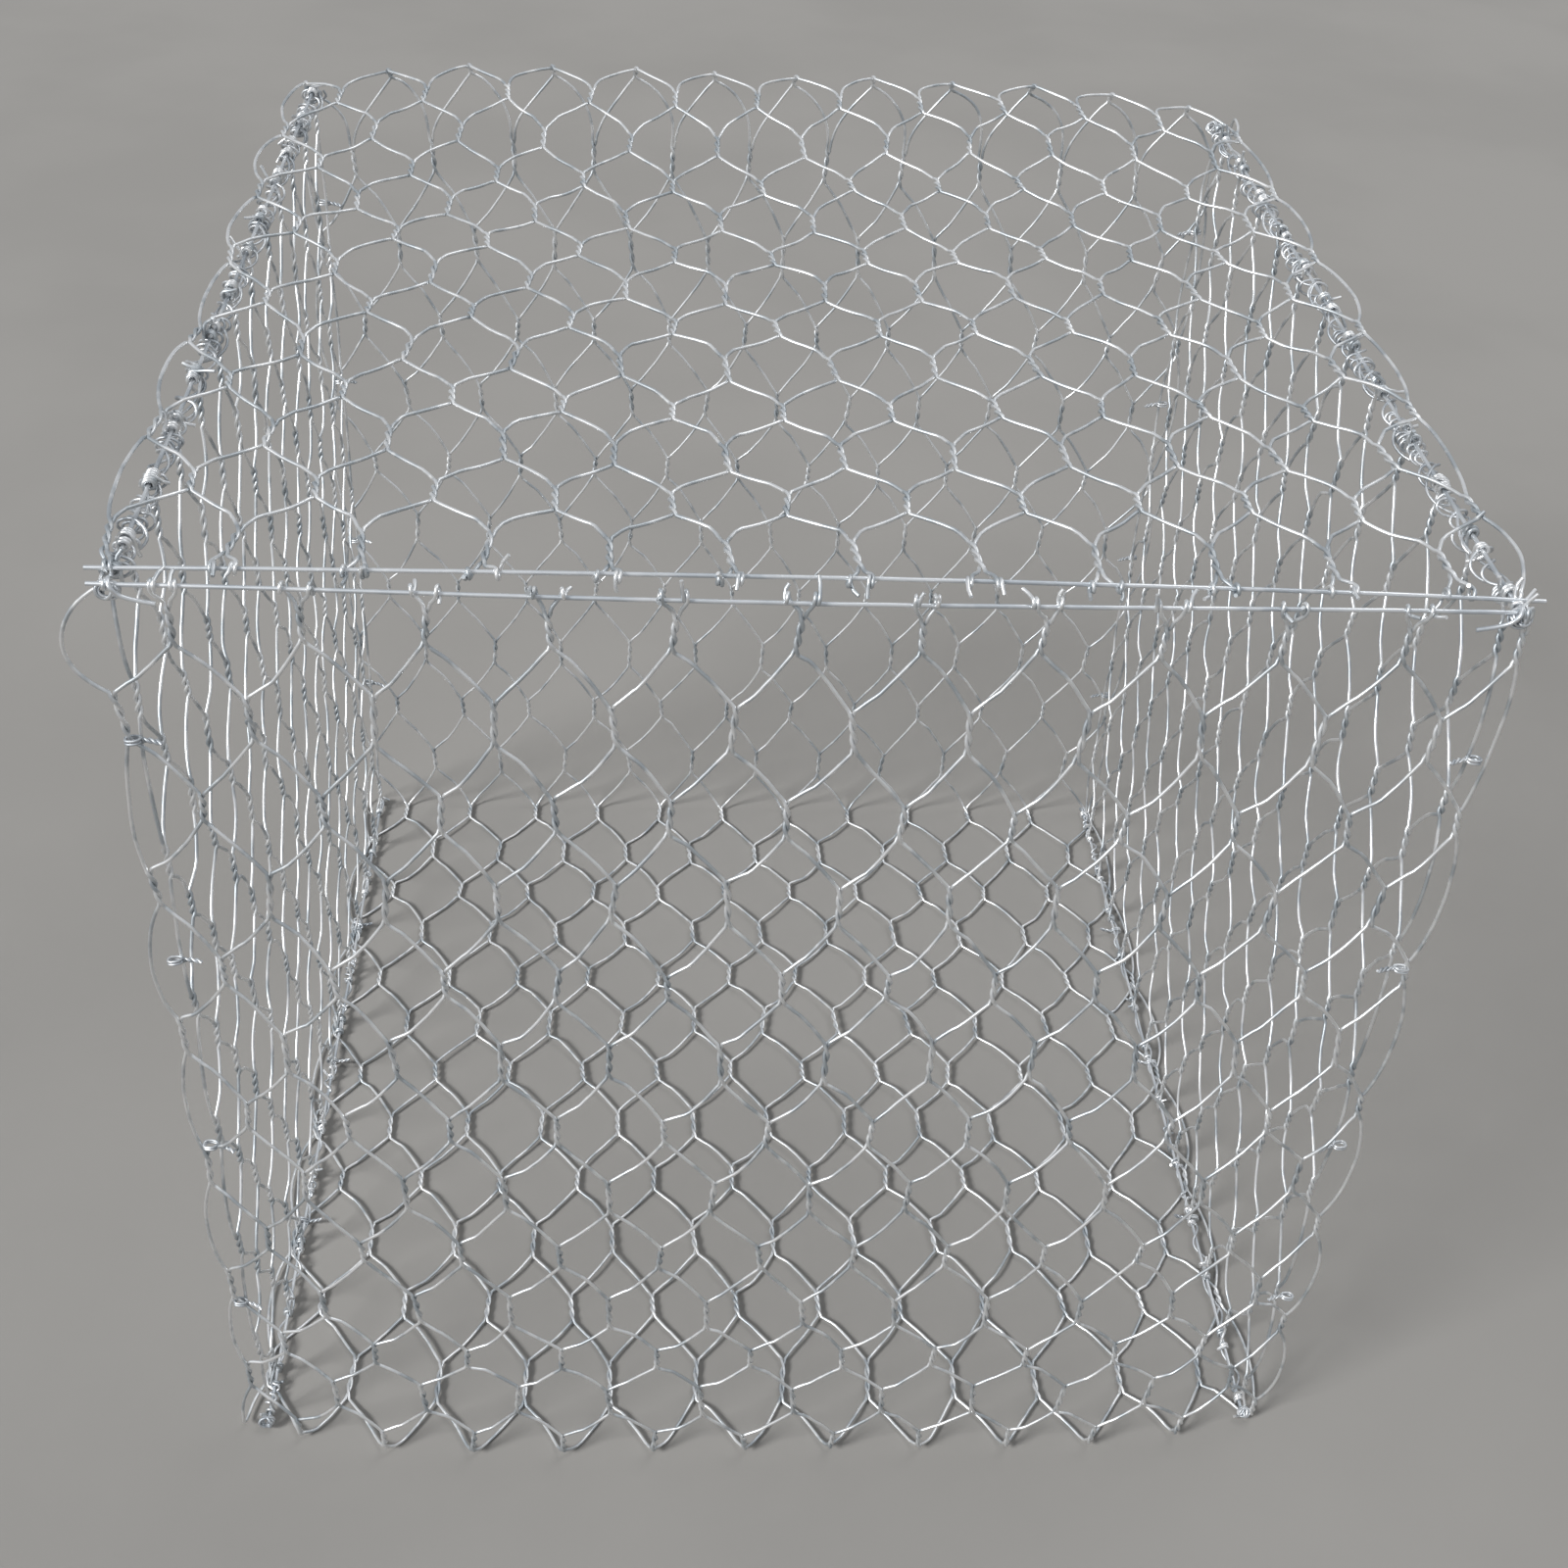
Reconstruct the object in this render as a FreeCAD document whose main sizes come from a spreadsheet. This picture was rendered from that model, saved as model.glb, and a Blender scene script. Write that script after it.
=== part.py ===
import FreeCAD, Part
import math
import os

# Gabion basket: a closed, empty cage of double-twisted hexagonal wire netting, about one metre each way.
# One woven strip folds round into front, base, back and lid. Two woven end walls stand inside the folded
# strip. Heavier selvedge wires finish the woven edges, and short wire ties hold the corners together.
#
# Frame: millimetres, +Z up, +X to the right, +Y from front to back, origin under the middle of the base.
#
# Every netting wire has a triangular section: a flat side on the outside of its wall and a ridge inside.
# A double twist is two wires wide. Wires meet at bends that lie where the centre lines cross.

# Driving sizes: alias, value in millimetres, meaning
DRIVING_SIZES = (
    ("basket_width", 1000.0, "left to right between the middles of the outer twists of the strip"),
    ("basket_depth", 1000.0, "outside of the front wall to outside of the back wall"),
    ("basket_height", 1000.0, "underside of the base netting to the top of the lid netting"),
    ("cell_width", 111.0, "wanted distance between neighbouring twists of one row"),
    ("row_pitch", 111.0, "wanted distance from one row of twists to the next"),
    ("twist_length", 46.0, "length of a double twist"),
    ("mesh_wire", 2.7, "thickness of a netting wire"),
    ("selvedge_wire", 3.4, "diameter of a selvedge wire"),
    ("tie_wire", 2.2, "thickness of a tie wire"),
    ("edge_bow", 42.0, "how far the loops at the strip's edges stand out past its outer twists"),
    ("fold_tail", 1.5, "ridge length between a fold and the first bend beside it"),
    ("lid_setback", 18.0, "outside of the front wall to the middle of the lid's selvedge"),
    ("selvedge_overhang", 12.0, "how far the two long selvedges run out past the outer twists"),
    ("seat_clearance", 0.3, "room between pieces that lie on each other"),
    ("hinge_clearance", 0.4, "room along the wire between back wall and lid at their fold"),
)

# Sides of a selvedge wire, near enough round at a tenth of a millimetre
SELVEDGE_SIDES = 12

# Expressions that several pieces share, written in the sheet's aliases
RIM_HEIGHT = (
    "sizes.tie_wire + sizes.basket_height - sizes.mesh_wire - sizes.selvedge_wire / 2"
)
FOOT_HEIGHT = (
    "sizes.tie_wire + 2 * sizes.seat_clearance + sizes.mesh_wire + sizes.selvedge_wire / 2"
)
END_WALL_MIDDLE = "sizes.basket_width / 2 - 1.5 * sizes.mesh_wire - sizes.seat_clearance"
FRONT_WALL_MIDDLE = "sizes.basket_depth / 2 - sizes.mesh_wire / 2"
END_SELVEDGE_LENGTH = (
    "sizes.basket_depth - sizes.mesh_wire - sizes.selvedge_wire - 2 * sizes.seat_clearance"
)


def make_sheet(document):
    """Write the driving sizes into a spreadsheet and give each its alias."""
    sheet = document.addObject("Spreadsheet::Sheet", "sizes")
    for row, (alias, value, meaning) in enumerate(DRIVING_SIZES, start=1):
        sheet.set(f"A{row}", alias)
        sheet.set(f"B{row}", str(value))
        sheet.set(f"C{row}", meaning)
        sheet.setAlias(f"B{row}", alias)
    document.recompute()
    return sheet


def line_crossing(point_a, direction_a, point_b, direction_b):
    """Point where two lines of one plane cross."""
    determinant = direction_a[0] * direction_b[1] - direction_a[1] * direction_b[0]
    gap = (point_b[0] - point_a[0], point_b[1] - point_a[1])
    reach = (gap[0] * direction_b[1] - gap[1] * direction_b[0]) / determinant
    return (point_a[0] + reach * direction_a[0], point_a[1] + reach * direction_a[1])


class Netting:
    """A flat net of straight wires that share their bends.

    A bend is a point (across, along) of the net's plane. The flat sides of the wires lie in that plane and
    their ridges stand ridge_height above it.
    """

    def __init__(self, ridge_height):
        self.ridge_height = ridge_height
        self.bends = []
        self.ridge_shifts = []
        self.arms = []
        self.wires = []

    def add_bend(self, across, along, ridge_shift=0.0):
        """Add a bend or a cut end. The ridge of a slanting cut is shifted along the wire."""
        self.bends.append((across, along))
        self.ridge_shifts.append(ridge_shift)
        self.arms.append([])
        return len(self.bends) - 1

    def add_wire(self, start, end, half_width):
        """Join two bends with a straight wire."""
        self.arms[start].append((end, half_width))
        self.arms[end].append((start, half_width))
        self.wires.append((start, end))

    def flat_point(self, point):
        return FreeCAD.Vector(point[0], point[1], 0)

    def ridge_point(self, bend):
        across, along = self.bends[bend]
        return FreeCAD.Vector(across, along + self.ridge_shifts[bend], self.ridge_height)

    def arm_direction(self, bend, other):
        across = self.bends[other][0] - self.bends[bend][0]
        along = self.bends[other][1] - self.bends[bend][1]
        length = math.hypot(across, along)
        return (across / length, along / length)

    def side_line(self, bend, arm, side):
        """A side edge of a wire as point and direction, seen outwards from the bend: side 1 is the left."""
        other, half_width = arm
        direction = self.arm_direction(bend, other)
        across, along = self.bends[bend]
        point = (across - side * direction[1] * half_width, along + side * direction[0] * half_width)
        return point, direction

    def bend_corners(self, bend):
        """Right and left flat corner of each wire at a bend, and all corners in turn round the bend."""
        arms = sorted(
            self.arms[bend],
            key=lambda arm: math.atan2(*reversed(self.arm_direction(bend, arm[0]))),
        )
        if len(arms) == 1:
            right = self.side_line(bend, arms[0], -1)[0]
            left = self.side_line(bend, arms[0], 1)[0]
            return {arms[0][0]: (right, left)}, [right, left]
        between = []
        for arm, following in zip(arms, arms[1:] + arms[:1]):
            left_side = self.side_line(bend, arm, 1)
            right_side = self.side_line(bend, following, -1)
            between.append(line_crossing(*left_side, *right_side))
        corners = {}
        for place, arm in enumerate(arms):
            corners[arm[0]] = (between[place - 1], between[place])
        return corners, between

    def solid(self):
        """Close the net into one solid made of flat faces."""
        outlines = []
        corners = []
        for bend in range(len(self.bends)):
            by_arm, around = self.bend_corners(bend)
            corners.append(by_arm)
            if len(around) == 3:
                outlines.append([self.flat_point(point) for point in around])
            if len(self.arms[bend]) == 1:
                outlines.append([self.flat_point(point) for point in around] + [self.ridge_point(bend)])
        for start, end in self.wires:
            start_right, start_left = [self.flat_point(point) for point in corners[start][end]]
            end_right, end_left = [self.flat_point(point) for point in corners[end][start]]
            start_ridge = self.ridge_point(start)
            end_ridge = self.ridge_point(end)
            outlines.append([start_left, start_right, end_left, end_right])
            outlines.append([start_right, end_left, end_ridge, start_ridge])
            outlines.append([start_left, end_right, end_ridge, start_ridge])
        faces = [Part.Face(Part.makePolygon(outline + outline[:1])) for outline in outlines]
        shell = Part.makeShell(faces)
        shell.sewShape()
        return Part.makeSolid(shell.Shells[0])


class Weave:
    """The weave of one wall: how many cells lie across it, how its edges end and where its rows lie."""

    def __init__(self, sheet, span, edge_bow):
        self.wire = sheet.mesh_wire
        self.span = span
        self.edge_bow = edge_bow
        self.cells = max(2, round(span / sheet.cell_width))
        self.overhangs = edge_bow > 0
        self.lowest = -1 if self.overhangs else 0
        self.highest = 2 * self.cells - self.lowest

    def across(self, column):
        """Place of a column. Columns count half cells from the left outer twist."""
        if self.overhangs and column == self.lowest:
            return -self.span / 2 - self.edge_bow
        if self.overhangs and column == self.highest:
            return self.span / 2 + self.edge_bow
        return -self.span / 2 + column * self.span / (2 * self.cells)

    def row_columns(self, row):
        """Columns that have a twist, or a lone edge wire, in a row."""
        reaches_edge = row % 2 == (0 if self.overhangs else 1)
        first = self.lowest if reaches_edge else self.lowest + 1
        last = self.highest if reaches_edge else self.highest - 1
        return range(first, last + 1, 2)

    def half_width(self, column):
        """Half the width of the wire in a column: one wire at the edge, else a twist of two."""
        return self.wire / 2 if column in (self.lowest, self.highest) else self.wire

    def netting(self, length, row_lengths, first_row, start_shift, end_shift):
        """Draw the wall. The layers of slanting wires between the rows share what length is left."""
        layer = (length - sum(row_lengths)) / (len(row_lengths) - 1)
        net = Netting(self.wire)
        above = {}
        along = 0.0
        for place, row_length in enumerate(row_lengths):
            is_last = place == len(row_lengths) - 1
            below = {}
            for column in self.row_columns(first_row + place):
                top = net.add_bend(self.across(column), along, start_shift if place == 0 else 0.0)
                foot = net.add_bend(self.across(column), along + row_length, end_shift if is_last else 0.0)
                net.add_wire(top, foot, self.half_width(column))
                for neighbour in (column - 1, column + 1):
                    if neighbour in above:
                        net.add_wire(above[neighbour], top, self.wire / 2)
                below[column] = foot
            above = below
            along += row_length + layer
        return net


def row_count(length, sheet):
    """Whole number of rows nearest to the wanted row pitch."""
    return max(3, round(length / sheet.row_pitch))


def odd_row_count(length, sheet):
    """Odd number of rows nearest to the wanted row pitch, so that front and back wall stay in step."""
    return max(3, 2 * round((length / sheet.row_pitch - 1) / 2) + 1)


class Layout:
    """Places and row lengths that the walls, selvedges and ties have in common."""

    def __init__(self, sheet):
        wire = sheet.mesh_wire
        room = sheet.seat_clearance
        selvedge_radius = sheet.selvedge_wire / 2
        self.sheet = sheet
        self.base_level = sheet.tie_wire + room
        self.lid_level = self.base_level + sheet.basket_height
        self.rim_level = self.lid_level - wire - room - selvedge_radius
        self.wall_top = self.rim_level - selvedge_radius - room
        self.foot_level = self.base_level + wire + room + selvedge_radius
        self.end_foot = self.foot_level + selvedge_radius + room
        self.end_face = sheet.basket_width / 2 - wire - room
        self.end_span = sheet.basket_depth - 3 * wire - 2 * room
        self.stub = wire + sheet.fold_tail
        self.wall_rows = row_count(sheet.basket_height, sheet)
        self.base_rows = odd_row_count(sheet.basket_depth, sheet)
        self.lid_rows = row_count(sheet.basket_depth, sheet)
        self.first_back_row = self.wall_rows + self.base_rows
        self.first_lid_row = self.first_back_row + self.wall_rows

    def standing_rows(self):
        """Row lengths of a wall that hangs from a selvedge: full twists, then a stub at its foot."""
        return [self.sheet.twist_length] * self.wall_rows + [self.stub]

    def base_row_lengths(self):
        """Row lengths of the base: its first and last twist continue round the folds."""
        full = self.sheet.twist_length
        return [full - self.stub] + [full] * (self.base_rows - 2) + [full - self.stub]

    def back_row_lengths(self):
        """Row lengths of the back wall, from its stub on the base fold up to the lid's fold."""
        full = self.sheet.twist_length
        return [self.stub] + [full] * (self.wall_rows - 1) + [full - self.stub]

    def lid_row_lengths(self):
        """Row lengths of the lid, from its stub at the fold to its selvedge."""
        return [self.stub] + [self.sheet.twist_length] * self.lid_rows

    def row_middle(self, length, row_lengths, place):
        """Distance from the start of a wall to the middle of one of its rows."""
        layer = (length - sum(row_lengths)) / (len(row_lengths) - 1)
        return sum(row_lengths[:place]) + place * layer + row_lengths[place] / 2


def turned_about_x(position, degrees):
    """Placement of a wall of the strip: its wires run along local +Y, its ridges face inwards."""
    return FreeCAD.Placement(position, FreeCAD.Rotation(FreeCAD.Vector(1, 0, 0), degrees))


def facing_inwards(position, inward):
    """Placement of an end wall: it is drawn from the rim down and its ridges face inwards."""
    down = FreeCAD.Vector(0, 0, -1)
    rotation = FreeCAD.Rotation(down.cross(inward), down, inward, "ZXY")
    return FreeCAD.Placement(position, rotation)


def add_feature(document, label, shape, placement=None):
    """Add a piece whose shape is worked out here."""
    feature = document.addObject("Part::Feature", label)
    feature.Label = label
    feature.Shape = shape
    if placement is not None:
        feature.Placement = placement
    return feature


def placed(shape, placement):
    """A copy of a shape, moved to its place."""
    copy = shape.copy()
    copy.Placement = placement
    return copy


def make_basket_mesh(document, layout):
    """Front wall, base and back wall: one woven strip, mitred where it folds."""
    sheet = layout.sheet
    weave = Weave(sheet, sheet.basket_width, sheet.edge_bow)
    mitre = sheet.mesh_wire
    front_length = layout.wall_top - layout.base_level
    front = weave.netting(front_length, layout.standing_rows(), 0, 0.0, -mitre)
    base = weave.netting(
        sheet.basket_depth, layout.base_row_lengths(), layout.wall_rows, mitre, -mitre
    )
    back = weave.netting(
        sheet.basket_height, layout.back_row_lengths(), layout.first_back_row - 1, mitre, -mitre
    )
    front_face = -sheet.basket_depth / 2
    walls = [
        placed(front.solid(), turned_about_x(FreeCAD.Vector(0, front_face, layout.wall_top), -90)),
        placed(base.solid(), turned_about_x(FreeCAD.Vector(0, front_face, layout.base_level), 0)),
        placed(back.solid(), turned_about_x(FreeCAD.Vector(0, -front_face, layout.base_level), 90)),
    ]
    return add_feature(document, "basket_mesh", Part.makeCompound(walls))


def make_lid_mesh(document, layout):
    """Lid: the last stretch of the strip, from its fold at the top of the back wall to its selvedge."""
    sheet = layout.sheet
    weave = Weave(sheet, sheet.basket_width, sheet.edge_bow)
    selvedge_room = sheet.selvedge_wire / 2 + sheet.seat_clearance
    length = sheet.basket_depth - sheet.hinge_clearance - sheet.lid_setback - selvedge_room
    net = weave.netting(length, layout.lid_row_lengths(), layout.first_lid_row - 1, sheet.mesh_wire, 0.0)
    start = sheet.basket_depth / 2 - sheet.hinge_clearance
    placement = turned_about_x(FreeCAD.Vector(0, start, layout.lid_level), 180)
    return add_feature(document, "lid_mesh", net.solid(), placement)


def make_end_mesh(document, layout, label, side):
    """End wall: netting that hangs between its two selvedges, side -1 on the left and 1 on the right."""
    sheet = layout.sheet
    weave = Weave(sheet, layout.end_span, 0.0)
    length = layout.wall_top - layout.end_foot
    net = weave.netting(length, layout.standing_rows(), 0, 0.0, 0.0)
    position = FreeCAD.Vector(side * layout.end_face, 0, layout.wall_top)
    return add_feature(document, label, net.solid(), facing_inwards(position, FreeCAD.Vector(-side, 0, 0)))


def make_long_selvedge(document, label, depth_place, height_place):
    """Selvedge that runs from left to right and pokes out past both corners."""
    wire = document.addObject("Part::Prism", label)
    wire.Label = label
    wire.Polygon = SELVEDGE_SIDES
    wire.setExpression("Circumradius", "sizes.selvedge_wire / 2")
    wire.setExpression("Height", "sizes.basket_width + 2 * sizes.selvedge_overhang")
    wire.Placement = FreeCAD.Placement(FreeCAD.Vector(), FreeCAD.Rotation(FreeCAD.Vector(0, 1, 0), 90))
    wire.setExpression("Placement.Base.x", "-sizes.basket_width / 2 - sizes.selvedge_overhang")
    wire.setExpression("Placement.Base.y", depth_place)
    wire.setExpression("Placement.Base.z", height_place)
    return wire


def make_end_selvedge(document, label, side, height_place):
    """Selvedge of an end wall, which runs from the front wall to the back wall."""
    wire = document.addObject("Part::Prism", label)
    wire.Label = label
    wire.Polygon = SELVEDGE_SIDES
    wire.setExpression("Circumradius", "sizes.selvedge_wire / 2")
    wire.setExpression("Height", END_SELVEDGE_LENGTH)
    wire.Placement = FreeCAD.Placement(FreeCAD.Vector(), FreeCAD.Rotation(FreeCAD.Vector(1, 0, 0), -90))
    wire.setExpression("Placement.Base.x", f"{side} * ({END_WALL_MIDDLE})")
    wire.setExpression("Placement.Base.y", f"-({END_SELVEDGE_LENGTH}) / 2")
    wire.setExpression("Placement.Base.z", height_place)
    return wire


def make_tie_loop(document, name, inner, flat_axis):
    """Pattern of a tie: a square-cornered loop of wire. inner gives its clear size along X, Y and Z."""
    outer_box = document.addObject("Part::Box", f"{name}_outer")
    inner_box = document.addObject("Part::Box", f"{name}_inner")
    for axis, size_name in zip("xyz", ("Length", "Width", "Height")):
        clear = inner[axis]
        if axis == flat_axis:
            outer_size = "sizes.tie_wire"
            inner_size = "2 * sizes.tie_wire"
        else:
            outer_size = f"{clear} + 2 * sizes.tie_wire"
            inner_size = clear
        for box, size in ((outer_box, outer_size), (inner_box, inner_size)):
            box.setExpression(size_name, size)
            box.setExpression(f"Placement.Base.{axis}", f"-({size}) / 2")
    loop = document.addObject("Part::Cut", name)
    loop.Base = outer_box
    loop.Tool = inner_box
    return loop


def make_corner_tie_loop(document):
    """Tie round an outer twist of the front or back wall and the edge wire of an end wall."""
    inner = {
        "x": "3 * sizes.mesh_wire + 3 * sizes.seat_clearance",
        "y": "2 * sizes.mesh_wire + 3 * sizes.seat_clearance",
        "z": None,
    }
    return make_tie_loop(document, "corner_tie_loop", inner, "z")


def make_base_tie_loop(document):
    """Tie round an outer twist of the base and the bottom selvedge of an end wall."""
    inner = {
        "x": "2.5 * sizes.mesh_wire + sizes.selvedge_wire / 2 + 3 * sizes.seat_clearance",
        "y": None,
        "z": "sizes.mesh_wire + sizes.selvedge_wire + 3 * sizes.seat_clearance",
    }
    return make_tie_loop(document, "base_tie_loop", inner, "y")


def tied_rows(layout):
    """Rows of a standing wall, counted from the rim, whose outer wires meet at the corner."""
    return range(1, layout.wall_rows, 2)


def make_corner_ties(document, layout, label, loop, side, face):
    """Ties up one corner: side -1 is left and face -1 is the front wall."""
    sheet = layout.sheet
    inner_x, inner_y = loop.Base.Length.Value, loop.Base.Width.Value
    outer_reach = sheet.seat_clearance + sheet.tie_wire
    middle_x = side * (sheet.basket_width / 2 + sheet.mesh_wire + outer_reach - inner_x / 2)
    middle_y = face * (sheet.basket_depth / 2 + outer_reach - inner_y / 2)
    end_length = layout.wall_top - layout.end_foot
    front_length = layout.wall_top - layout.base_level
    back_lengths = layout.back_row_lengths()
    ties = []
    for row in tied_rows(layout):
        end_level = layout.wall_top - layout.row_middle(end_length, layout.standing_rows(), row)
        if face < 0:
            strip_level = layout.wall_top - layout.row_middle(front_length, layout.standing_rows(), row)
        else:
            place = layout.wall_rows - row
            strip_level = layout.base_level + layout.row_middle(sheet.basket_height, back_lengths, place)
        middle = FreeCAD.Vector(middle_x, middle_y, (end_level + strip_level) / 2)
        ties.append(placed(loop.Shape, FreeCAD.Placement(middle, FreeCAD.Rotation())))
    return add_feature(document, label, Part.makeCompound(ties))


def make_base_ties(document, layout, label, loop, side):
    """Ties along one side of the base, at every outer twist between the corners."""
    sheet = layout.sheet
    inner_x, inner_z = loop.Base.Length.Value, loop.Base.Height.Value
    outer_reach = sheet.seat_clearance + sheet.tie_wire
    middle_x = side * (sheet.basket_width / 2 + sheet.mesh_wire + outer_reach - inner_x / 2)
    middle_z = layout.base_level - outer_reach + inner_z / 2
    ties = []
    for place in range(1, layout.base_rows - 1):
        if (layout.wall_rows + place) % 2 == 0:
            continue
        along = layout.row_middle(sheet.basket_depth, layout.base_row_lengths(), place)
        middle = FreeCAD.Vector(middle_x, -sheet.basket_depth / 2 + along, middle_z)
        ties.append(placed(loop.Shape, FreeCAD.Placement(middle, FreeCAD.Rotation())))
    return add_feature(document, label, Part.makeCompound(ties))


def make_ties(document, layout):
    """All ties: four upright corners and the two sides of the base."""
    corner_loop = make_corner_tie_loop(document)
    base_loop = make_base_tie_loop(document)
    document.recompute()
    pieces = []
    for side_name, side in (("left", -1), ("right", 1)):
        for face_name, face in (("front", -1), ("back", 1)):
            label = f"{face_name}_{side_name}_ties"
            pieces.append(make_corner_ties(document, layout, label, corner_loop, side, face))
        pieces.append(make_base_ties(document, layout, f"base_{side_name}_ties", base_loop, side))
    return pieces


def make_selvedges(document):
    """The selvedges of the front wall, the lid and the two end walls."""
    lid_depth = "sizes.lid_setback - sizes.basket_depth / 2"
    lid_height = f"{RIM_HEIGHT} + sizes.selvedge_wire + sizes.seat_clearance"
    pieces = [
        make_long_selvedge(document, "front_selvedge", f"-({FRONT_WALL_MIDDLE})", RIM_HEIGHT),
        make_long_selvedge(document, "lid_selvedge", lid_depth, lid_height),
    ]
    for side_name, side in (("left", -1), ("right", 1)):
        pieces.append(make_end_selvedge(document, f"{side_name}_end_top_selvedge", side, RIM_HEIGHT))
        pieces.append(make_end_selvedge(document, f"{side_name}_end_bottom_selvedge", side, FOOT_HEIGHT))
    return pieces


def check_document(document):
    """Stop if any object of the document failed to build."""
    for item in document.Objects:
        if "Invalid" in item.State or "Error" in item.State:
            raise RuntimeError(f"{item.Label} failed: {item.State}")


def write_pieces(pieces):
    """Check each piece and write it to its own file."""
    os.makedirs("parts", exist_ok=True)
    for piece in pieces:
        shape = piece.Shape
        if shape.isNull() or not shape.isValid() or shape.Volume <= 0:
            raise RuntimeError(f"{piece.Label} has no valid solid")
    for piece in pieces:
        shape = piece.Shape
        shape.exportStep(f"parts/{piece.Label}.step")
        print(f"{piece.Label}: {len(shape.Solids)} solids, {shape.Volume:.0f} cubic millimetres")


def main():
    document = FreeCAD.newDocument("gabion_basket")
    sheet = make_sheet(document)
    layout = Layout(sheet)
    pieces = [
        make_basket_mesh(document, layout),
        make_lid_mesh(document, layout),
        make_end_mesh(document, layout, "left_end_mesh", -1),
        make_end_mesh(document, layout, "right_end_mesh", 1),
    ]
    pieces += make_selvedges(document)
    pieces += make_ties(document, layout)
    document.recompute()
    check_document(document)
    write_pieces(pieces)


main()
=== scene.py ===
"""Looks of a gabion basket: round zinc wires, woven, twisted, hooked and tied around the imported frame.

Lengths are metres. +Z is up, +X is to the right and +Y goes from the front wall to the back wall.
"""

import logging
import math
import random
from collections.abc import Callable
from dataclasses import dataclass, field
from enum import Enum

import bmesh
import bpy
import numpy as np
from mathutils import Matrix, Vector, noise


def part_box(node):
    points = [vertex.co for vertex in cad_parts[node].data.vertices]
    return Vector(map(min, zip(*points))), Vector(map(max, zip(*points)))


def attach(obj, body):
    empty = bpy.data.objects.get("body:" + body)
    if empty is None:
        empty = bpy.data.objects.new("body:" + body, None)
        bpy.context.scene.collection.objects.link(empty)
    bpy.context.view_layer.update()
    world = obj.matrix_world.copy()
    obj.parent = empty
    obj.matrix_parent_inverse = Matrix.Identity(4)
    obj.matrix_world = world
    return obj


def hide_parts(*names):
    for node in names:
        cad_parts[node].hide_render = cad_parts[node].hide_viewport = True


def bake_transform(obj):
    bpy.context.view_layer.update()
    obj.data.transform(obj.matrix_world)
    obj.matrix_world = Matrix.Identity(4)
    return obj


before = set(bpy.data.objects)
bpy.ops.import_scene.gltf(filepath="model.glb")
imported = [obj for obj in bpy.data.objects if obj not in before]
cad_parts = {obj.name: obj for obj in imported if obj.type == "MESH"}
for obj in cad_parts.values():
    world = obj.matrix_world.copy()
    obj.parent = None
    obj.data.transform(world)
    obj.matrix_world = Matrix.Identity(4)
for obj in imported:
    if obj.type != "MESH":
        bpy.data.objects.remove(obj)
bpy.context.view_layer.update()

LOG = logging.getLogger("gabion")
MM = 0.001
FULL_TURN = 2 * math.pi
RIM = 0.9978
FOOT = 0.0072
HALF_WIDTH = 0.5

Colour = tuple[float, float, float]
Place = tuple[float, float, float]


class Body(Enum):
    """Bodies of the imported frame."""

    BASKET = "basket"
    LID = "lid"


class Slot(Enum):
    """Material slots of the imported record."""

    MESH = "mesh_zinc"
    SELVEDGE = "selvedge_zinc"
    TIE = "tie_zinc"


class Side(Enum):
    """Left or right, with the sign of its X."""

    LEFT = -1
    RIGHT = 1


class Signal:
    """A node's output socket that can be used in sums with numbers and other outputs."""

    def __init__(self, graph: "Graph", node: bpy.types.Node, output: int | str = 0) -> None:
        """Wrap one output of a node.

        Args:
            graph: the graph that the node is in.
            node: the node. A tree's last one has no outputs.
            output: the output's name or number.
        """
        self.graph = graph
        self.node = node
        self.socket = node.outputs[output] if len(node.outputs) else None

    def __getitem__(self, output: int | str) -> "Signal":
        """Another output of the same node."""
        return Signal(self.graph, self.node, output)

    def _maths(self, operation: str, first: object, second: object) -> "Signal":
        """Join two values with a Math node."""
        return self.graph.node("ShaderNodeMath", {0: first, 1: second}, operation=operation)

    def __add__(self, other: object) -> "Signal":
        """This plus the other."""
        return self._maths("ADD", self, other)

    def __radd__(self, other: object) -> "Signal":
        """The other plus this."""
        return self._maths("ADD", other, self)

    def __sub__(self, other: object) -> "Signal":
        """This minus the other."""
        return self._maths("SUBTRACT", self, other)

    def __rsub__(self, other: object) -> "Signal":
        """The other minus this."""
        return self._maths("SUBTRACT", other, self)

    def __mul__(self, other: object) -> "Signal":
        """This times the other."""
        return self._maths("MULTIPLY", self, other)

    def __rmul__(self, other: object) -> "Signal":
        """The other times this."""
        return self._maths("MULTIPLY", other, self)

    def held(self) -> "Signal":
        """This, kept between 0 and 1."""
        return self.graph.node("ShaderNodeClamp", {"Value": self})

    def between(self, low: float, high: float) -> "Signal":
        """0 below low, 1 above high and smooth in between."""
        inputs = {"Value": self, "From Min": low, "From Max": high}
        return self.graph.node("ShaderNodeMapRange", inputs, interpolation_type="SMOOTHSTEP")


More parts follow.
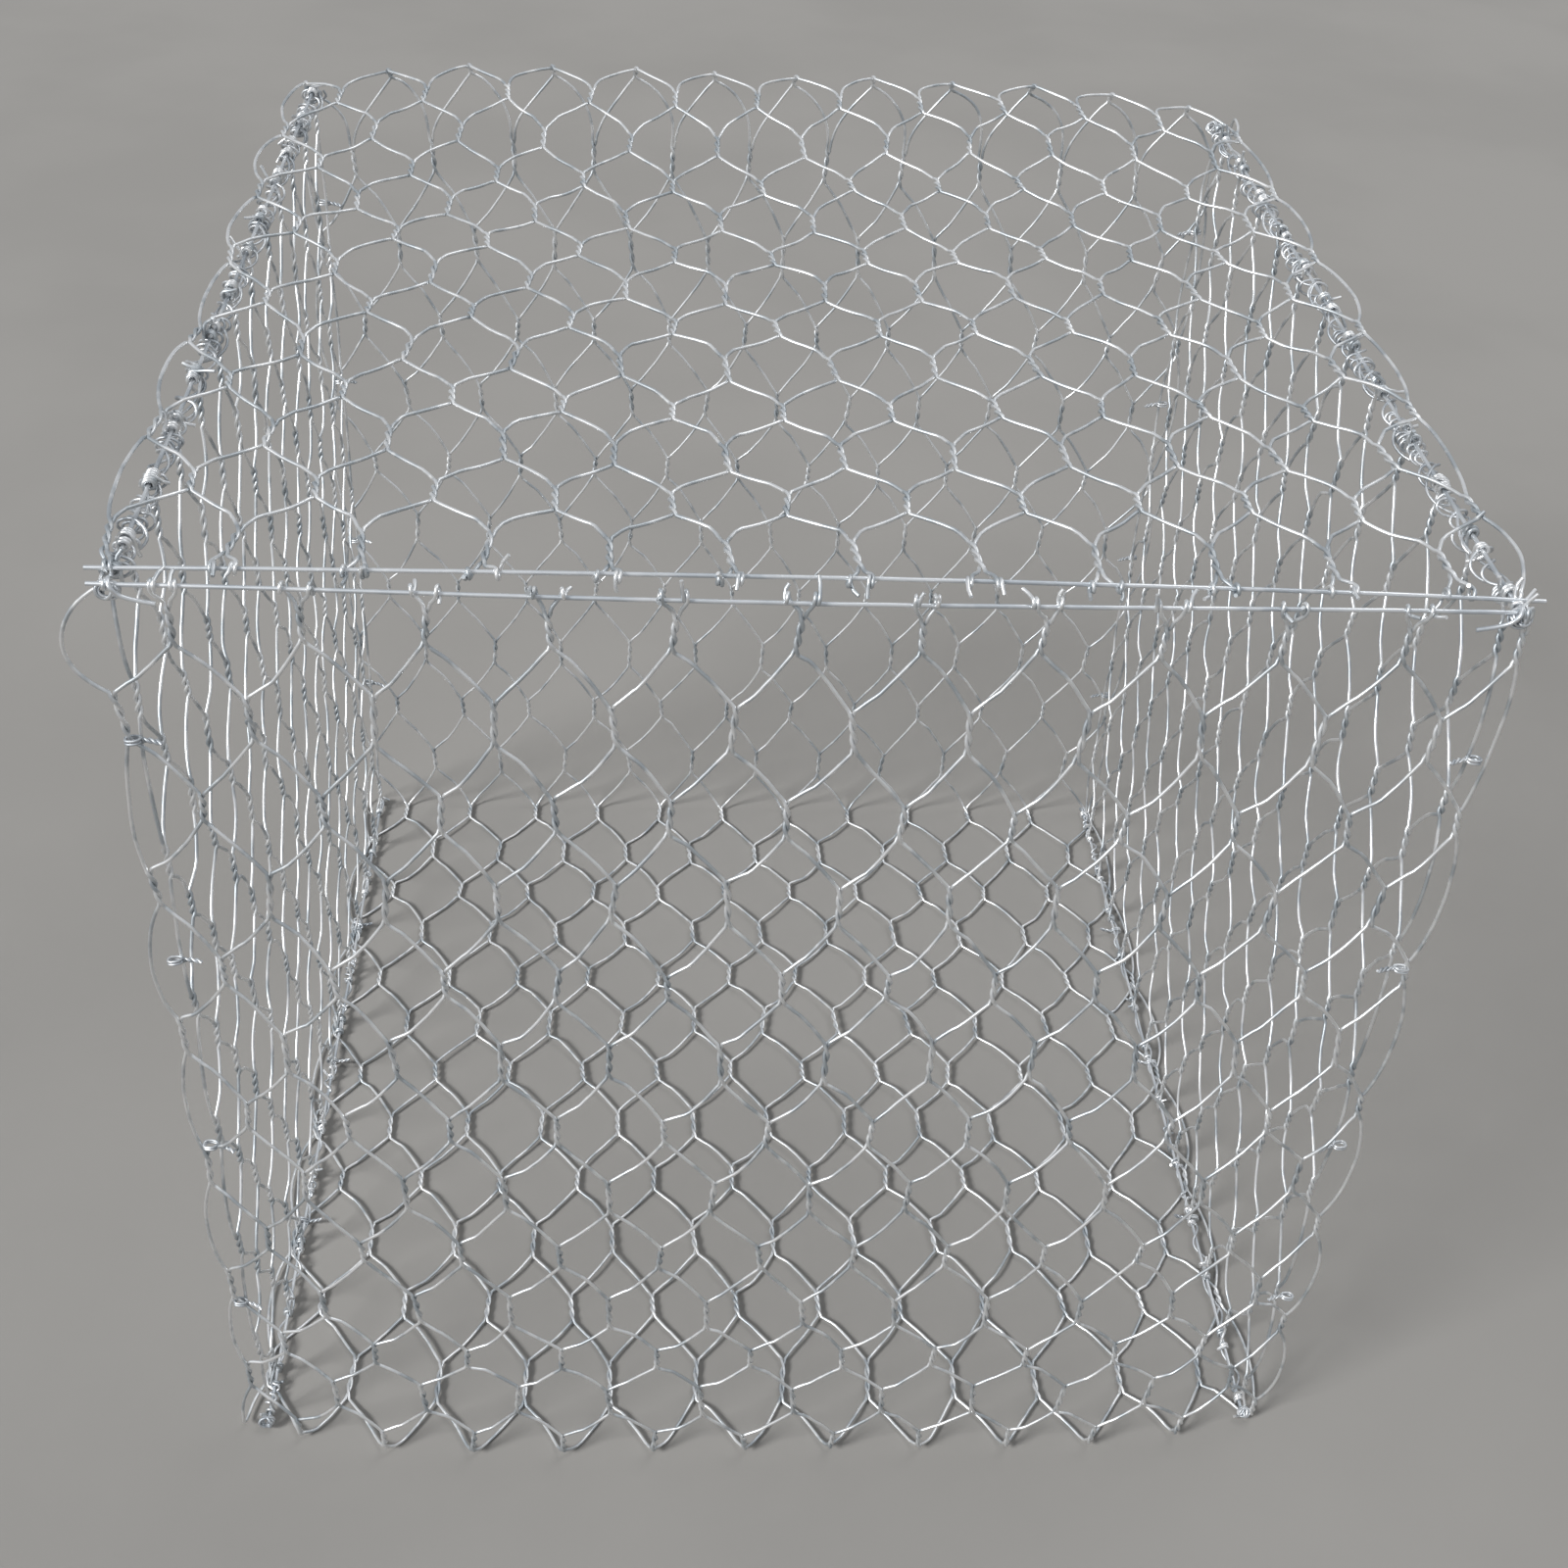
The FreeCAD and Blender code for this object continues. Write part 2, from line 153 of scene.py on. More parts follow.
class Graph:
    """Builds the nodes of one tree, for materials and for geometry alike."""

    def __init__(self, tree: bpy.types.NodeTree) -> None:
        """Start with an empty tree."""
        self.tree = tree
        tree.nodes.clear()

    def node(self, kind: str, inputs: dict | None = None, **settings: object) -> Signal:
        """Add any node.

        Args:
            kind: the node's type name.
            inputs: values or signals by socket name or number.
            settings: the node's own settings, which are set first.

        Returns:
            The new node's first output.
        """
        made = self.tree.nodes.new(kind)
        for name, value in settings.items():
            setattr(made, name, value)
        for name, value in (inputs or {}).items():
            if isinstance(value, Signal):
                self.tree.links.new(value.socket, made.inputs[name])
            else:
                made.inputs[name].default_value = value
        return Signal(self, made)

    def mixed(self, share: Signal, first: Signal | Colour, second: Signal | Colour) -> Signal:
        """Mix two colours. The node's colour sockets are 6 and 7, and its output 2.

        Args:
            share: how much of the second colour shows.
            first: a colour or a signal.
            second: a colour or a signal.

        Returns:
            The mixed colour.
        """
        colours = [c if isinstance(c, Signal) else (*c, 1.0) for c in (first, second)]
        return self.node("ShaderNodeMix", {0: share, 6: colours[0], 7: colours[1]}, data_type="RGBA")[2]

    def cloud(self, place: Signal, scale: float, detail: float) -> Signal:
        """A noise from 0 to 1, with so many blotches to a metre and so many finer layers."""
        return self.node("ShaderNodeTexNoise", {"Vector": place, "Scale": scale, "Detail": detail})

    def kept(self, name: str) -> Signal:
        """A value that the wires' points keep under a name."""
        return self.node("ShaderNodeAttribute", attribute_name=name)["Fac"]

    def surface(self, inputs: dict[str, object]) -> None:
        """Add a material's shader and its output."""
        shader = self.node("ShaderNodeBsdfPrincipled", inputs)
        self.node("ShaderNodeOutputMaterial", {"Surface": shader})


@dataclass(frozen=True)
class ZincFinish:
    """Zinc on drawn steel wire: bright where it is fresh, grey and matt where it has dulled, and darker
    inside the twists as painted shade.
    """

    name: str
    bright: Colour
    # The dull colour is that of dulled zinc, and also the one that the painted shade inside the twists
    # darkens towards.
    dull: Colour
    powder: Colour
    roughness: float
    blotches: float
    powder_share: float
    metal: float = 0.84
    grain: float = 900.0
    streaks_along: float = 18.0
    streaks_around: float = 14.0
    worn_between: tuple[float, float] = (0.42, 0.62)
    powdered_between: tuple[float, float] = (0.56, 0.70)
    bump: float = 0.35
    relief: float = 0.2 * MM

    def material(self) -> bpy.types.Material:
        """Make the material.

        Returns:
            Zinc with dull blotches, powdery patches, lines drawn along the wire and painted shade inside the
            twists.
        """
        made = bpy.data.materials.new(self.name)
        made.use_nodes = True
        graph = Graph(made.node_tree)
        place = graph.node("ShaderNodeTexCoord")["Object"]
        along, around, twist_shade = (graph.kept(name) for name in ("along", "around", "twisted"))
        patches = graph.cloud(place, self.blotches, 3.0)
        grain = graph.cloud(place, self.grain, 2.0)
        lengthwise = {"X": along * self.streaks_along, "Y": around * self.streaks_around, "Z": patches}
        drawn = graph.cloud(graph.node("ShaderNodeCombineXYZ", lengthwise), 1.0, 3.0)
        # The twist depth adds painted shade: it darkens the wire towards the dull colour inside its twists,
        # where the strands shade each other. The mix also holds real dull blotches and drawn lines.
        wear_and_twist_shade = (patches.between(*self.worn_between) * 0.80 + drawn * 0.20 + twist_shade * 0.10).held()
        powdered = graph.cloud(place, self.blotches * 2.7, 4.0).between(*self.powdered_between)
        powder = powdered * self.powder_share
        colour = graph.mixed(powder, graph.mixed(wear_and_twist_shade, self.bright, self.dull), self.powder)
        rough = (self.roughness + wear_and_twist_shade * 0.14 + powder * 0.20 + grain * 0.05).held()
        metal = (self.metal - powder * 0.35).held()
        uneven = {"Strength": self.bump, "Distance": self.relief, "Height": grain * 0.4 + drawn * 0.6}
        bump = graph.node("ShaderNodeBump", uneven)
        graph.surface({"Base Color": colour, "Roughness": rough, "Metallic": metal, "Normal": bump})
        return made


@dataclass(frozen=True)
class FloorFinish:
    """Plain pale floor."""

    colour: Colour = (0.335, 0.324, 0.308)
    shade: Colour = (0.31, 0.30, 0.285)
    clouds: float = 1.3
    roughness: float = 0.8

    def material(self) -> bpy.types.Material:
        """Make the floor's material.

        Returns:
            A pale, matt material.
        """
        made = bpy.data.materials.new("pale_floor")
        made.use_nodes = True
        graph = Graph(made.node_tree)
        place = graph.node("ShaderNodeTexCoord")["Object"]
        shaded = graph.cloud(place, self.clouds, 4.0).between(0.35, 0.65)
        colour = graph.mixed(shaded, self.colour, self.shade)
        graph.surface({"Base Color": colour, "Roughness": self.roughness})
        return made


FINISHES = {
    Slot.MESH: ZincFinish(
        "netting_zinc", (0.93, 0.935, 0.94), (0.44, 0.48, 0.51), (0.74, 0.74, 0.73), 0.29, 30.0, 0.50
    ),
    Slot.SELVEDGE: ZincFinish(
        "selvedge_zinc_bright", (0.86, 0.88, 0.90), (0.50, 0.54, 0.58), (0.72, 0.73, 0.74), 0.28, 14.0, 0.50
    ),
    Slot.TIE: ZincFinish(
        "tie_zinc_dull", (0.78, 0.80, 0.82), (0.40, 0.43, 0.46), (0.62, 0.62, 0.62), 0.34, 40.0, 0.60
    ),
}


def stand(name: str, data: bpy.types.ID) -> bpy.types.Object:
    """Put an object in the scene.

    Args:
        name: the object's name.
        data: its mesh, curve, lamp or camera.

    Returns:
        The new object.
    """
    made = bpy.data.objects.new(name, data)
    bpy.context.scene.collection.objects.link(made)
    return made


class PieceTree:
    """A geometry tree with named inputs that makes a piece real and dresses it at its end."""

    NAME = ""
    INPUTS: dict[str, str] = {}

    def __init__(self) -> None:
        """Build the tree."""
        self.tree = bpy.data.node_groups.new(self.NAME, "GeometryNodeTree")
        for name, kind in {"Geometry": "Geometry", **self.INPUTS, "Finish": "Material"}.items():
            self.tree.interface.new_socket(name, in_out="INPUT", socket_type=f"NodeSocket{kind}")
        self.tree.interface.new_socket("Geometry", in_out="OUTPUT", socket_type="NodeSocketGeometry")
        graph = Graph(self.tree)
        given = graph.node("NodeGroupInput")
        real = graph.node("GeometryNodeRealizeInstances", {"Geometry": self.shape(graph, given)})
        dressed = graph.node("GeometryNodeSetMaterial", {"Geometry": real, "Material": given["Finish"]})
        graph.node("NodeGroupOutput", {"Geometry": dressed})

    def shape(self, graph: Graph, given: Signal) -> Signal:
        """Add the nodes that shape the piece."""
        raise NotImplementedError

    def run(self, thing: bpy.types.Object, values: dict[str, object]) -> bpy.types.Object:
        """Run the tree on an object and keep the result as a plain mesh.

        Args:
            thing: the object that holds the lines or points. It is removed.
            values: the tree's inputs by name.

        Returns:
            A new mesh object of the same name.
        """
        name = thing.name
        modifier = thing.modifiers.new("maker", "NODES")
        modifier.node_group = self.tree
        for item in self.tree.interface.items_tree:
            if item.in_out == "INPUT" and item.name in values:
                modifier[item.identifier] = values[item.name]
        bpy.context.view_layer.update()
        graph = bpy.context.evaluated_depsgraph_get()
        mesh = bpy.data.meshes.new_from_object(thing.evaluated_get(graph), depsgraph=graph)
        thing.modifiers.clear()
        bpy.data.objects.remove(thing)
        mesh.name = name
        return stand(name, mesh)


class WireTree(PieceTree):
    """Turns lines into round, slightly wavy wires."""

    NAME = "round_wires"
    INPUTS = {
        "Diameter": "Float",
        "Sides": "Int",
        "Waviness": "Float",
        "Waves per metre": "Float",
        "Seed": "Float",
    }

    def shape(self, graph: Graph, given: Signal) -> Signal:
        """Add the waves, then the round section.

        Args:
            graph: builds the nodes.
            given: the tree's inputs.

        Returns:
            The smooth wires. Their points keep their way along and around the wire for the finish.
        """
        waves = graph.node(
            "ShaderNodeTexNoise",
            {
                "Vector": graph.node("GeometryNodeInputPosition"),
                "W": given["Seed"],
                "Scale": given["Waves per metre"],
                "Detail": 1.0,
            },
            noise_dimensions="4D",
        )
        middle = graph.node("ShaderNodeVectorMath", {0: waves[1], 1: (0.5, 0.5, 0.5)}, operation="SUBTRACT")
        reach = {0: middle, "Scale": given["Waviness"] * 2.0}
        offset = graph.node("ShaderNodeVectorMath", reach, operation="SCALE")
        moved = graph.node("GeometryNodeSetPosition", {"Geometry": given["Geometry"], "Offset": offset})
        lines = self._stored(graph, moved, "along", graph.node("GeometryNodeSplineParameter")["Length"])
        section = {"Resolution": given["Sides"], "Radius": given["Diameter"] * 0.5}
        ring = graph.node("GeometryNodeCurvePrimitiveCircle", section)
        rings = self._stored(graph, ring, "around", graph.node("GeometryNodeSplineParameter")["Factor"])
        round_wire = {"Curve": lines, "Profile Curve": rings, "Fill Caps": True}
        tubes = graph.node("GeometryNodeCurveToMesh", round_wire)
        return graph.node("GeometryNodeSetShadeSmooth", {"Geometry": tubes})

    def _stored(self, graph: Graph, lines: Signal, name: str, value: Signal) -> Signal:
        """Keep a value on the lines' points under a name."""
        inputs = {"Geometry": lines, "Name": name, "Value": value}
        return graph.node("GeometryNodeStoreNamedAttribute", inputs, data_type="FLOAT", domain="POINT")


class ScatterTree(PieceTree):
    """Sets copies of one piece on points, each turned and scaled a little."""

    NAME = "scattered_pieces"
    INPUTS = {"Piece": "Object", "Turn": "Vector", "Spread": "Float", "Seed": "Int"}

    def shape(self, graph: Graph, given: Signal) -> Signal:
        """Add the copies.

        Args:
            graph: builds the nodes.
            given: the tree's inputs.

        Returns:
            The copies on the points.
        """
        back = graph.node("ShaderNodeVectorMath", {0: given["Turn"], "Scale": -1.0}, operation="SCALE")
        turns = {0: back, 1: given["Turn"], "Seed": given["Seed"]}
        sizes = {2: 1.0 - given["Spread"], 3: 1.0 + given["Spread"], "Seed": given["Seed"]}
        copies = {
            "Points": given["Geometry"],
            "Instance": graph.node("GeometryNodeObjectInfo", {"Object": given["Piece"]})["Geometry"],
            "Rotation": graph.node("FunctionNodeRandomValue", turns, data_type="FLOAT_VECTOR"),
            "Scale": graph.node("FunctionNodeRandomValue", sizes, data_type="FLOAT")[1],
        }
        return graph.node("GeometryNodeInstanceOnPoints", copies)


@dataclass
class Line:
    """One wire's middle line: places and how deep each lies in a twist, which sets its painted shade."""

    places: np.ndarray
    twisted: np.ndarray


@dataclass
class Workshop:
    """The trees and materials that all pieces share."""

    wires: WireTree = field(default_factory=WireTree)
    scatter: ScatterTree = field(default_factory=ScatterTree)
    waves_per_metre: float = 34.0
    wave_seed: float = 3.0
    size_spread: float = 0.05

    def __post_init__(self) -> None:
        """Make the three zinc materials."""
        self.zinc = {slot: finish.material() for slot, finish in FINISHES.items()}

    def draw(
        self,
        name: str,
        lines: list[Line],
        slot: Slot,
        diameter: float,
        sides: int = 8,
        wave: float = 0.8 * MM,
    ) -> bpy.types.Object:
        """Make round wires along lines.

        Args:
            name: the piece's name.
            lines: middle lines of the wires.
            slot: whose zinc they wear.
            diameter: thickness of the wires.
            sides: facets round a wire.
            wave: how far the wires waver.

        Returns:
            One mesh object with all the wires.
        """
        curve = bpy.data.curves.new(name, "CURVE")
        curve.dimensions = "3D"
        for line in lines:
            spline = curve.splines.new("POLY")
            spline.points.add(len(line.places) - 1)
            flat = np.column_stack([line.places, np.ones(len(line.places))]).ravel()
            spline.points.foreach_set("co", flat.astype(np.float32))
        values = {"Diameter": diameter, "Sides": sides, "Waviness": wave, "Finish": self.zinc[slot]}
        values |= {"Waves per metre": self.waves_per_metre, "Seed": self.wave_seed}
        made = self.wires.run(stand(name, curve), values)
        self._mark_twists(made, lines, sides)
        return made

    def _mark_twists(self, made: bpy.types.Object, lines: list[Line], sides: int) -> None:
        """Write how deep each ring lies in a twist, for the finish's painted shade inside the twists.

        Args:
            made: the wires.
            lines: their middle lines.
            sides: points in a ring.
        """
        values = np.concatenate([np.repeat(line.twisted, sides) for line in lines]).astype(np.float32)
        count = len(made.data.vertices)
        if len(values) != count:
            LOG.warning("%s: %d values for %d points", made.name, len(values), count)
            return
        mark = made.data.attributes.new("twisted", "FLOAT", "POINT")
        mark.data.foreach_set("value", values)

    def strew(
        self, name: str, piece: bpy.types.Object, places: list[Place], slot: Slot, turn: Place, seed: int
    ) -> bpy.types.Object:
        """Set copies of a piece on places, each turned a little.

        Args:
            name: the new piece's name.
            piece: the object to copy.
            places: where the copies go.
            slot: whose zinc they wear.
            turn: largest turn about each axis, in radians.
            seed: fixes the turns.

        Returns:
            One mesh object with all the copies.
        """
        mesh = bpy.data.meshes.new(name)
        mesh.from_pydata(places, [], [])
        values = {"Piece": piece, "Turn": turn, "Spread": self.size_spread, "Seed": seed}
        return self.scatter.run(stand(name, mesh), values | {"Finish": self.zinc[slot]})


def settle(piece: bpy.types.Object, body: Body, slot: Slot, *nodes: str) -> None:
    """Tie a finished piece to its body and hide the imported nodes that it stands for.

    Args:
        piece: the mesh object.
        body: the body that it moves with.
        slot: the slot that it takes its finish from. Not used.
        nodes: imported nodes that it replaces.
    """
    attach(piece, body.value)
    if nodes:
        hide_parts(*nodes)
    LOG.info("%s: %d faces on %s", piece.name, len(piece.data.polygons), body.value)


def bezier(
    start: np.ndarray, first: np.ndarray, last: np.ndarray, end: np.ndarray, steps: np.ndarray
) -> np.ndarray:
    """A smooth line that is pulled towards two places on its way.

    Args:
        start: where it starts.
        first: the place that it leaves towards.
        last: the place that it arrives from.
        end: where it ends.
        steps: shares of the way, from 0 to 1.

    Returns:
        Its places at these shares.
    """
    steps = steps[:, None]
    return (
        (1 - steps) ** 3 * start
        + 3 * (1 - steps) ** 2 * steps * first
        + 3 * (1 - steps) * steps**2 * last
        + steps**3 * end
    )


def smooth_line(points: np.ndarray, steps: int) -> np.ndarray:
    """A smooth line through points.

    Args:
        points: places, one row each.
        steps: samples between two points.

    Returns:
        The sampled places.
    """
    padded = np.vstack([2 * points[0] - points[1], points, 2 * points[-1] - points[-2]])
    share = np.linspace(0, 1, steps, endpoint=False)[:, None]
    made = []
    for before, start, end, after in zip(padded, padded[1:], padded[2:], padded[3:]):
        bent = (2 * before - 5 * start + 4 * end - after) * share**2
        turned = (3 * start - before - 3 * end + after) * share**3
        made.append(0.5 * (2 * start + (end - before) * share + bent + turned))
    return np.vstack([*made, points[-1]])


def steady_noise(spot: Vector) -> Vector:
    """Three noise values at a spot, the same ones in every run."""
    apart = Vector((31.4, 17.9, 53.2))
    return Vector([noise.noise(spot + apart * part) for part in range(3)])


class Surface:
    """A sheet of netting: where a point (across, along, inward) of it lies."""

    def place(self, across: np.ndarray, along: np.ndarray, inward: np.ndarray) -> np.ndarray:
        """Places of points of the sheet."""
        raise NotImplementedError


@dataclass
class FoldedStrip(Surface):
    """The long strip that goes down the front, under the base, up the back and over as the lid."""

    front: float = -0.4971
    back: float = 0.4971
    floor: float = 0.0041
    top: float = 1.0010
    lid_end: float = -0.482
    bend: float = 0.012
    crown: float = 0.021
    front_push: float = 34 * MM
    push_height: float = 0.55
    push_depth: float = 0.30
    back_lift: float = 34 * MM
    lift_depth: float = 0.16
    lift_height: float = 0.14
    lid_rest: float = 5.5 * MM
    rest_start: float = 0.43
    rest_width: float = 0.05

    def __post_init__(self) -> None:
        """Work out where along the strip its walls and folds start."""
        self.radii = [0.0, self.bend, self.bend, self.crown]
        walls = [
            RIM - self.floor - self.bend,
            self.back - self.front - 2 * self.bend,
            self.top - self.floor - self.bend - self.crown,
            self.back - self.lid_end - self.crown,
        ]
        self.starts = [0.0]
        for length, radius in zip(walls, self.radii[1:]):
            self.starts.append(self.starts[-1] + length + radius * math.pi / 2)
        self.length = self.starts[-1] + walls[-1]
        self.folds = [start - radius * math.pi / 4 for start, radius in zip(self.starts[1:], self.radii[1:])]

    def _eased(self, places: np.ndarray) -> np.ndarray:
        """Let the stiff netting stand out: forwards at the foot of the front wall, upwards at the lid's fold.

        Args:
            places: places on the flat walls and round folds.

        Returns:
            The moved places. The lid's side edges also rest on the end walls' lacing.
        """
        x, y, z = places.T
        middle = 1 - np.clip(np.abs(x) / HALF_WIDTH, 0, 1) ** 6
        drop = np.clip((RIM - z) / self.push_height, 0, 1)
        near_front = np.clip(1 - (y - self.front) / self.push_depth, 0, 1)
        push = self.front_push * middle * drop**1.5 * near_front**2
        to_back = np.clip((self.back - y) / self.lift_depth, 0, 3)
        to_top = np.clip((self.top - z) / self.lift_height, 0, 3)
        lift = self.back_lift * middle * np.exp(-(to_back**2) - to_top**2)
        at_side = np.clip((np.abs(x) - self.rest_start) / self.rest_width, 0, 1)
        on_lid = np.clip((y - self.lid_end) / 0.04, 0, 1) * np.clip((z - self.top) / 0.02 + 1.5, 0, 1)
        return np.column_stack([x, y - push, z + lift + self.lid_rest * at_side * on_lid])

    def place(self, across: np.ndarray, along: np.ndarray, inward: np.ndarray) -> np.ndarray:
        """Places of points of the strip.

        Args:
            across: X of each point.
            along: way along the strip from the rim of the front wall.
            inward: way out of the sheet towards the inside.

        Returns:
            An array of places, one row each.
        """
        turn = np.zeros_like(along)
        base_y = np.empty_like(along)
        base_z = np.empty_like(along)
        corners = [
            (self.front, RIM, -math.pi / 2),
            (self.front + self.bend, self.floor, 0.0),
            (self.back, self.floor + self.bend, math.pi / 2),
            (self.back - self.crown, self.top, math.pi),
        ]
        for start, radius, (corner_y, corner_z, heading) in zip(self.starts, self.radii, corners):
            straight = along - start
            here = straight >= (-radius * math.pi / 2 if radius else -1.0)
            in_fold = here & (straight < 0) & (radius > 0)
            flat = here & ~in_fold
            base_y[flat] = corner_y + straight[flat] * math.cos(heading)
            base_z[flat] = corner_z + straight[flat] * math.sin(heading)
            turn[flat] = heading
            if radius:
                angle = heading + straight[in_fold] / radius
                middle_y = corner_y - radius * math.sin(heading)
                middle_z = corner_z + radius * math.cos(heading)
                base_y[in_fold] = middle_y + radius * np.sin(angle)
                base_z[in_fold] = middle_z - radius * np.cos(angle)
                turn[in_fold] = angle
        depth = base_y - inward * np.sin(turn)
        height = base_z + inward * np.cos(turn)
        return self._eased(np.column_stack([across, depth, height]))


@dataclass
class EndSheet(Surface):
    """An end wall: across runs from front to back, along runs down from its top selvedge."""

    side: Side
    middle: float = 0.4950

    def place(self, across: np.ndarray, along: np.ndarray, inward: np.ndarray) -> np.ndarray:
        """Places of points of the end wall."""
        return np.column_stack([self.side.value * (self.middle - inward), across, RIM - along])


@dataclass
class Selvedge:
    """Where a sheet's wires hook round their selvedge, in the sheet's own measures."""

    along: float
    inward: float
    reach: float
    turns: tuple[float, float]
    pitch: float = 3.0 * MM
    tail: tuple[float, float] = (5 * MM, 13 * MM)


@dataclass
class Twist:
    """One double twist: its middle, its lean and its length."""

    across: float
    along: float
    inward: float
    lean: float
    tilt: float
    length: float

    def end(self, way: int) -> np.ndarray:
        """The twist's upper (-1) or lower (1) end."""
        half = way * self.length / 2
        return np.array([self.across + self.lean * half, self.along + half, self.inward + self.tilt * half])

    def heading(self) -> np.ndarray:
        """Direction of the twist's axis, downwards."""
        made = np.array([self.lean, 1.0, self.tilt])
        return made / np.linalg.norm(made)


@dataclass
class Trail:
    """A wire that is being traced, in stretches of points with how deep each lies in a twist."""

    legs: list[np.ndarray] = field(default_factory=list)

    def add(self, leg: np.ndarray, depth: np.ndarray | float = 0.0) -> None:
        """Add a stretch."""
        self.legs.append(np.column_stack([leg, np.broadcast_to(depth, len(leg))]))


@dataclass
class Netting:
    """Double-twisted hexagonal netting on a sheet, wire by wire."""

    surface: Surface
    rows: list[float]
    left: float
    right: float
    bow: float
    top: Selvedge
    bottom: Selvedge
    seed: int
    bulge: Callable[[float, float], float]
    shift: Callable[[float, float], float] = lambda across, along: 0.0
    half_cells: int = 23
    twist_lengths: tuple[float, float] = (31 * MM, 42 * MM)
    crown_row: int = -1
    crown_twist: float = 25 * MM
    strand_reach: float = 1.6 * MM
    wander: float = 2.6 * MM
    drift: float = 8.0 * MM
    rim_bow: float = 32 * MM
    lowest: float = 2.5 * MM
    sway: float = 1.6 * MM
    knee: float = 6.0 * MM
    knee_width: float = 0.24
    fade: float = 0.34
    hook_aside: float = 9 * MM
    lone_hooks_inside: tuple[float, float] = (8 * MM, 3 * MM)
    farthest_hook: float = 0.499
    first_is_right: bool = True
    lean: float = 0.13
    tilt: float = 0.05
    length_spread: tuple[float, float] = (0.88, 1.12)
    noise_scale: float = 3.1
    finer_scale: float = 3.7
    edge_calm: float = 0.3
    edge_wander: float = 0.4
    crown_calm: float = 0.3

    TWIST_STEPS = np.linspace(0.0, 1.0, 16)
    SPAN_STEPS = np.array([0.04, 0.14, 0.26, 0.35, 0.44, 0.56, 0.65, 0.74, 0.86, 0.96])
    EDGE_STEPS = np.linspace(0.0, 1.0, 20)[1:-1]
    TIE_IN_STEPS = np.array([0.12, 0.3, 0.5, 0.7, 0.88])

    def __post_init__(self) -> None:
        """Set out the twists of every row."""
        self.chance = random.Random(self.seed)
        self.pitch = (self.right - self.left) / self.half_cells
        self.last_row = len(self.rows) - 1
        self.twists = [self._row(number) for number in range(len(self.rows))]

    def column(self, number: int) -> float:
        """Across place of a column of half cells."""
        return self.left + number * self.pitch

    def columns(self, row: int) -> range:
        """Columns that have a twist in a row: odd ones reach the right edge, even ones the left."""
        starts_odd = (row % 2 == 0) == self.first_is_right
        return range(1 if starts_odd else 0, self.half_cells + 1, 2)

    def _row(self, number: int) -> dict[int, Twist]:
        """Set out the twists of one row, each a little off its place.

        Args:
            number: the row's number.

        Returns:
            The twists by column.
        """
        at_crown = number == self.crown_row
        usual = self.crown_twist if at_crown else self.twist_lengths[number % 2]
        along = self.rows[number]
        made = {}
        for column in self.columns(number):
            across = self.column(column)
            scale = self.noise_scale
            spot = Vector((across * scale + self.seed, along * scale, 0.7 * self.seed))
            slow = steady_noise(spot)
            quick = steady_noise(spot * self.finer_scale + Vector((9.0, 4.0, 2.0)))
            at_edge = column in (0, self.half_cells)
            calm = self.edge_calm if at_edge else 1.0
            wander = self.wander * (self.edge_wander if at_edge else 1.0)
            drift = self.drift * calm
            wobble = (0.8 * drift * slow.y + 1.2 * wander * quick.y) * (self.crown_calm if at_crown else 1.0)
            made[column] = Twist(
                across=across + drift * slow.x + wander * quick.x,
                along=along + self.shift(across, along) + wobble,
                inward=self.bulge(across, along) + 0.9 * wander * quick.z * calm,
                lean=self.chance.uniform(-self.lean, self.lean),
                tilt=self.chance.uniform(-self.tilt, self.tilt),
                length=usual * self.chance.uniform(*self.length_spread),
            )
        return made

    def _twist_leg(self, twist: Twist, moves_right: bool) -> tuple[np.ndarray, np.ndarray]:
        """A strand's way through a twist: one and a half turns round the twist's middle line.

        Args:
            twist: the twist.
            moves_right: whether the strand comes from the left.

        Returns:
            Its places, and how deep each lies in the twist, from 0 to 1.
        """
        steps = self.TWIST_STEPS
        start, end = twist.end(-1), twist.end(1)
        places = start + steps[:, None] * (end - start)
        angle = (math.pi if moves_right else 0.0) + 3 * math.pi * steps
        off_middle = np.abs(2 * steps - 1)
        reach = self.strand_reach * (1 + 0.30 * off_middle**6)
        places[:, 0] += reach * np.cos(angle)
        places[:, 2] += reach * np.sin(angle)
        # The depth is highest in the middle of the twist; the finish turns it into painted shade there.
        return places, np.clip(1.6 - off_middle * 1.2, 0, 1)

    def _span(self, last: Twist, twist: Twist, tip: np.ndarray, root: np.ndarray, row: int) -> np.ndarray:
        """A strand's slanting way from one twist to the next: kneed, or a wide arc next to the lid's fold.

        Args:
            last: the twist that it leaves.
            twist: the twist that it runs to.
            tip: where the strand leaves the one.
            root: where it enters the other. Its offset from the twists' middle lines fades out in between.
            row: the row of the twist that it runs to.

        Returns:
            Places between the two.
        """
        start, end = last.end(1), twist.end(-1)
        to_left = end[0] < start[0]
        if self.crown_row in (row, row - 1):
            line = self._arc(last, twist, to_left, row == self.crown_row)
        else:
            line = self._kneed(start, end, to_left, row)
        steps = self.SPAN_STEPS[:, None]
        sway = np.array([self.chance.uniform(-1, 1) for _ in range(3)])
        line += np.sin(np.pi * steps) * sway * self.sway
        leaving = np.clip(1 - steps / self.fade, 0, 1)
        arriving = np.clip(1 - (1 - steps) / self.fade, 0, 1)
        return line + (tip - start) * leaving + (root - end) * arriving

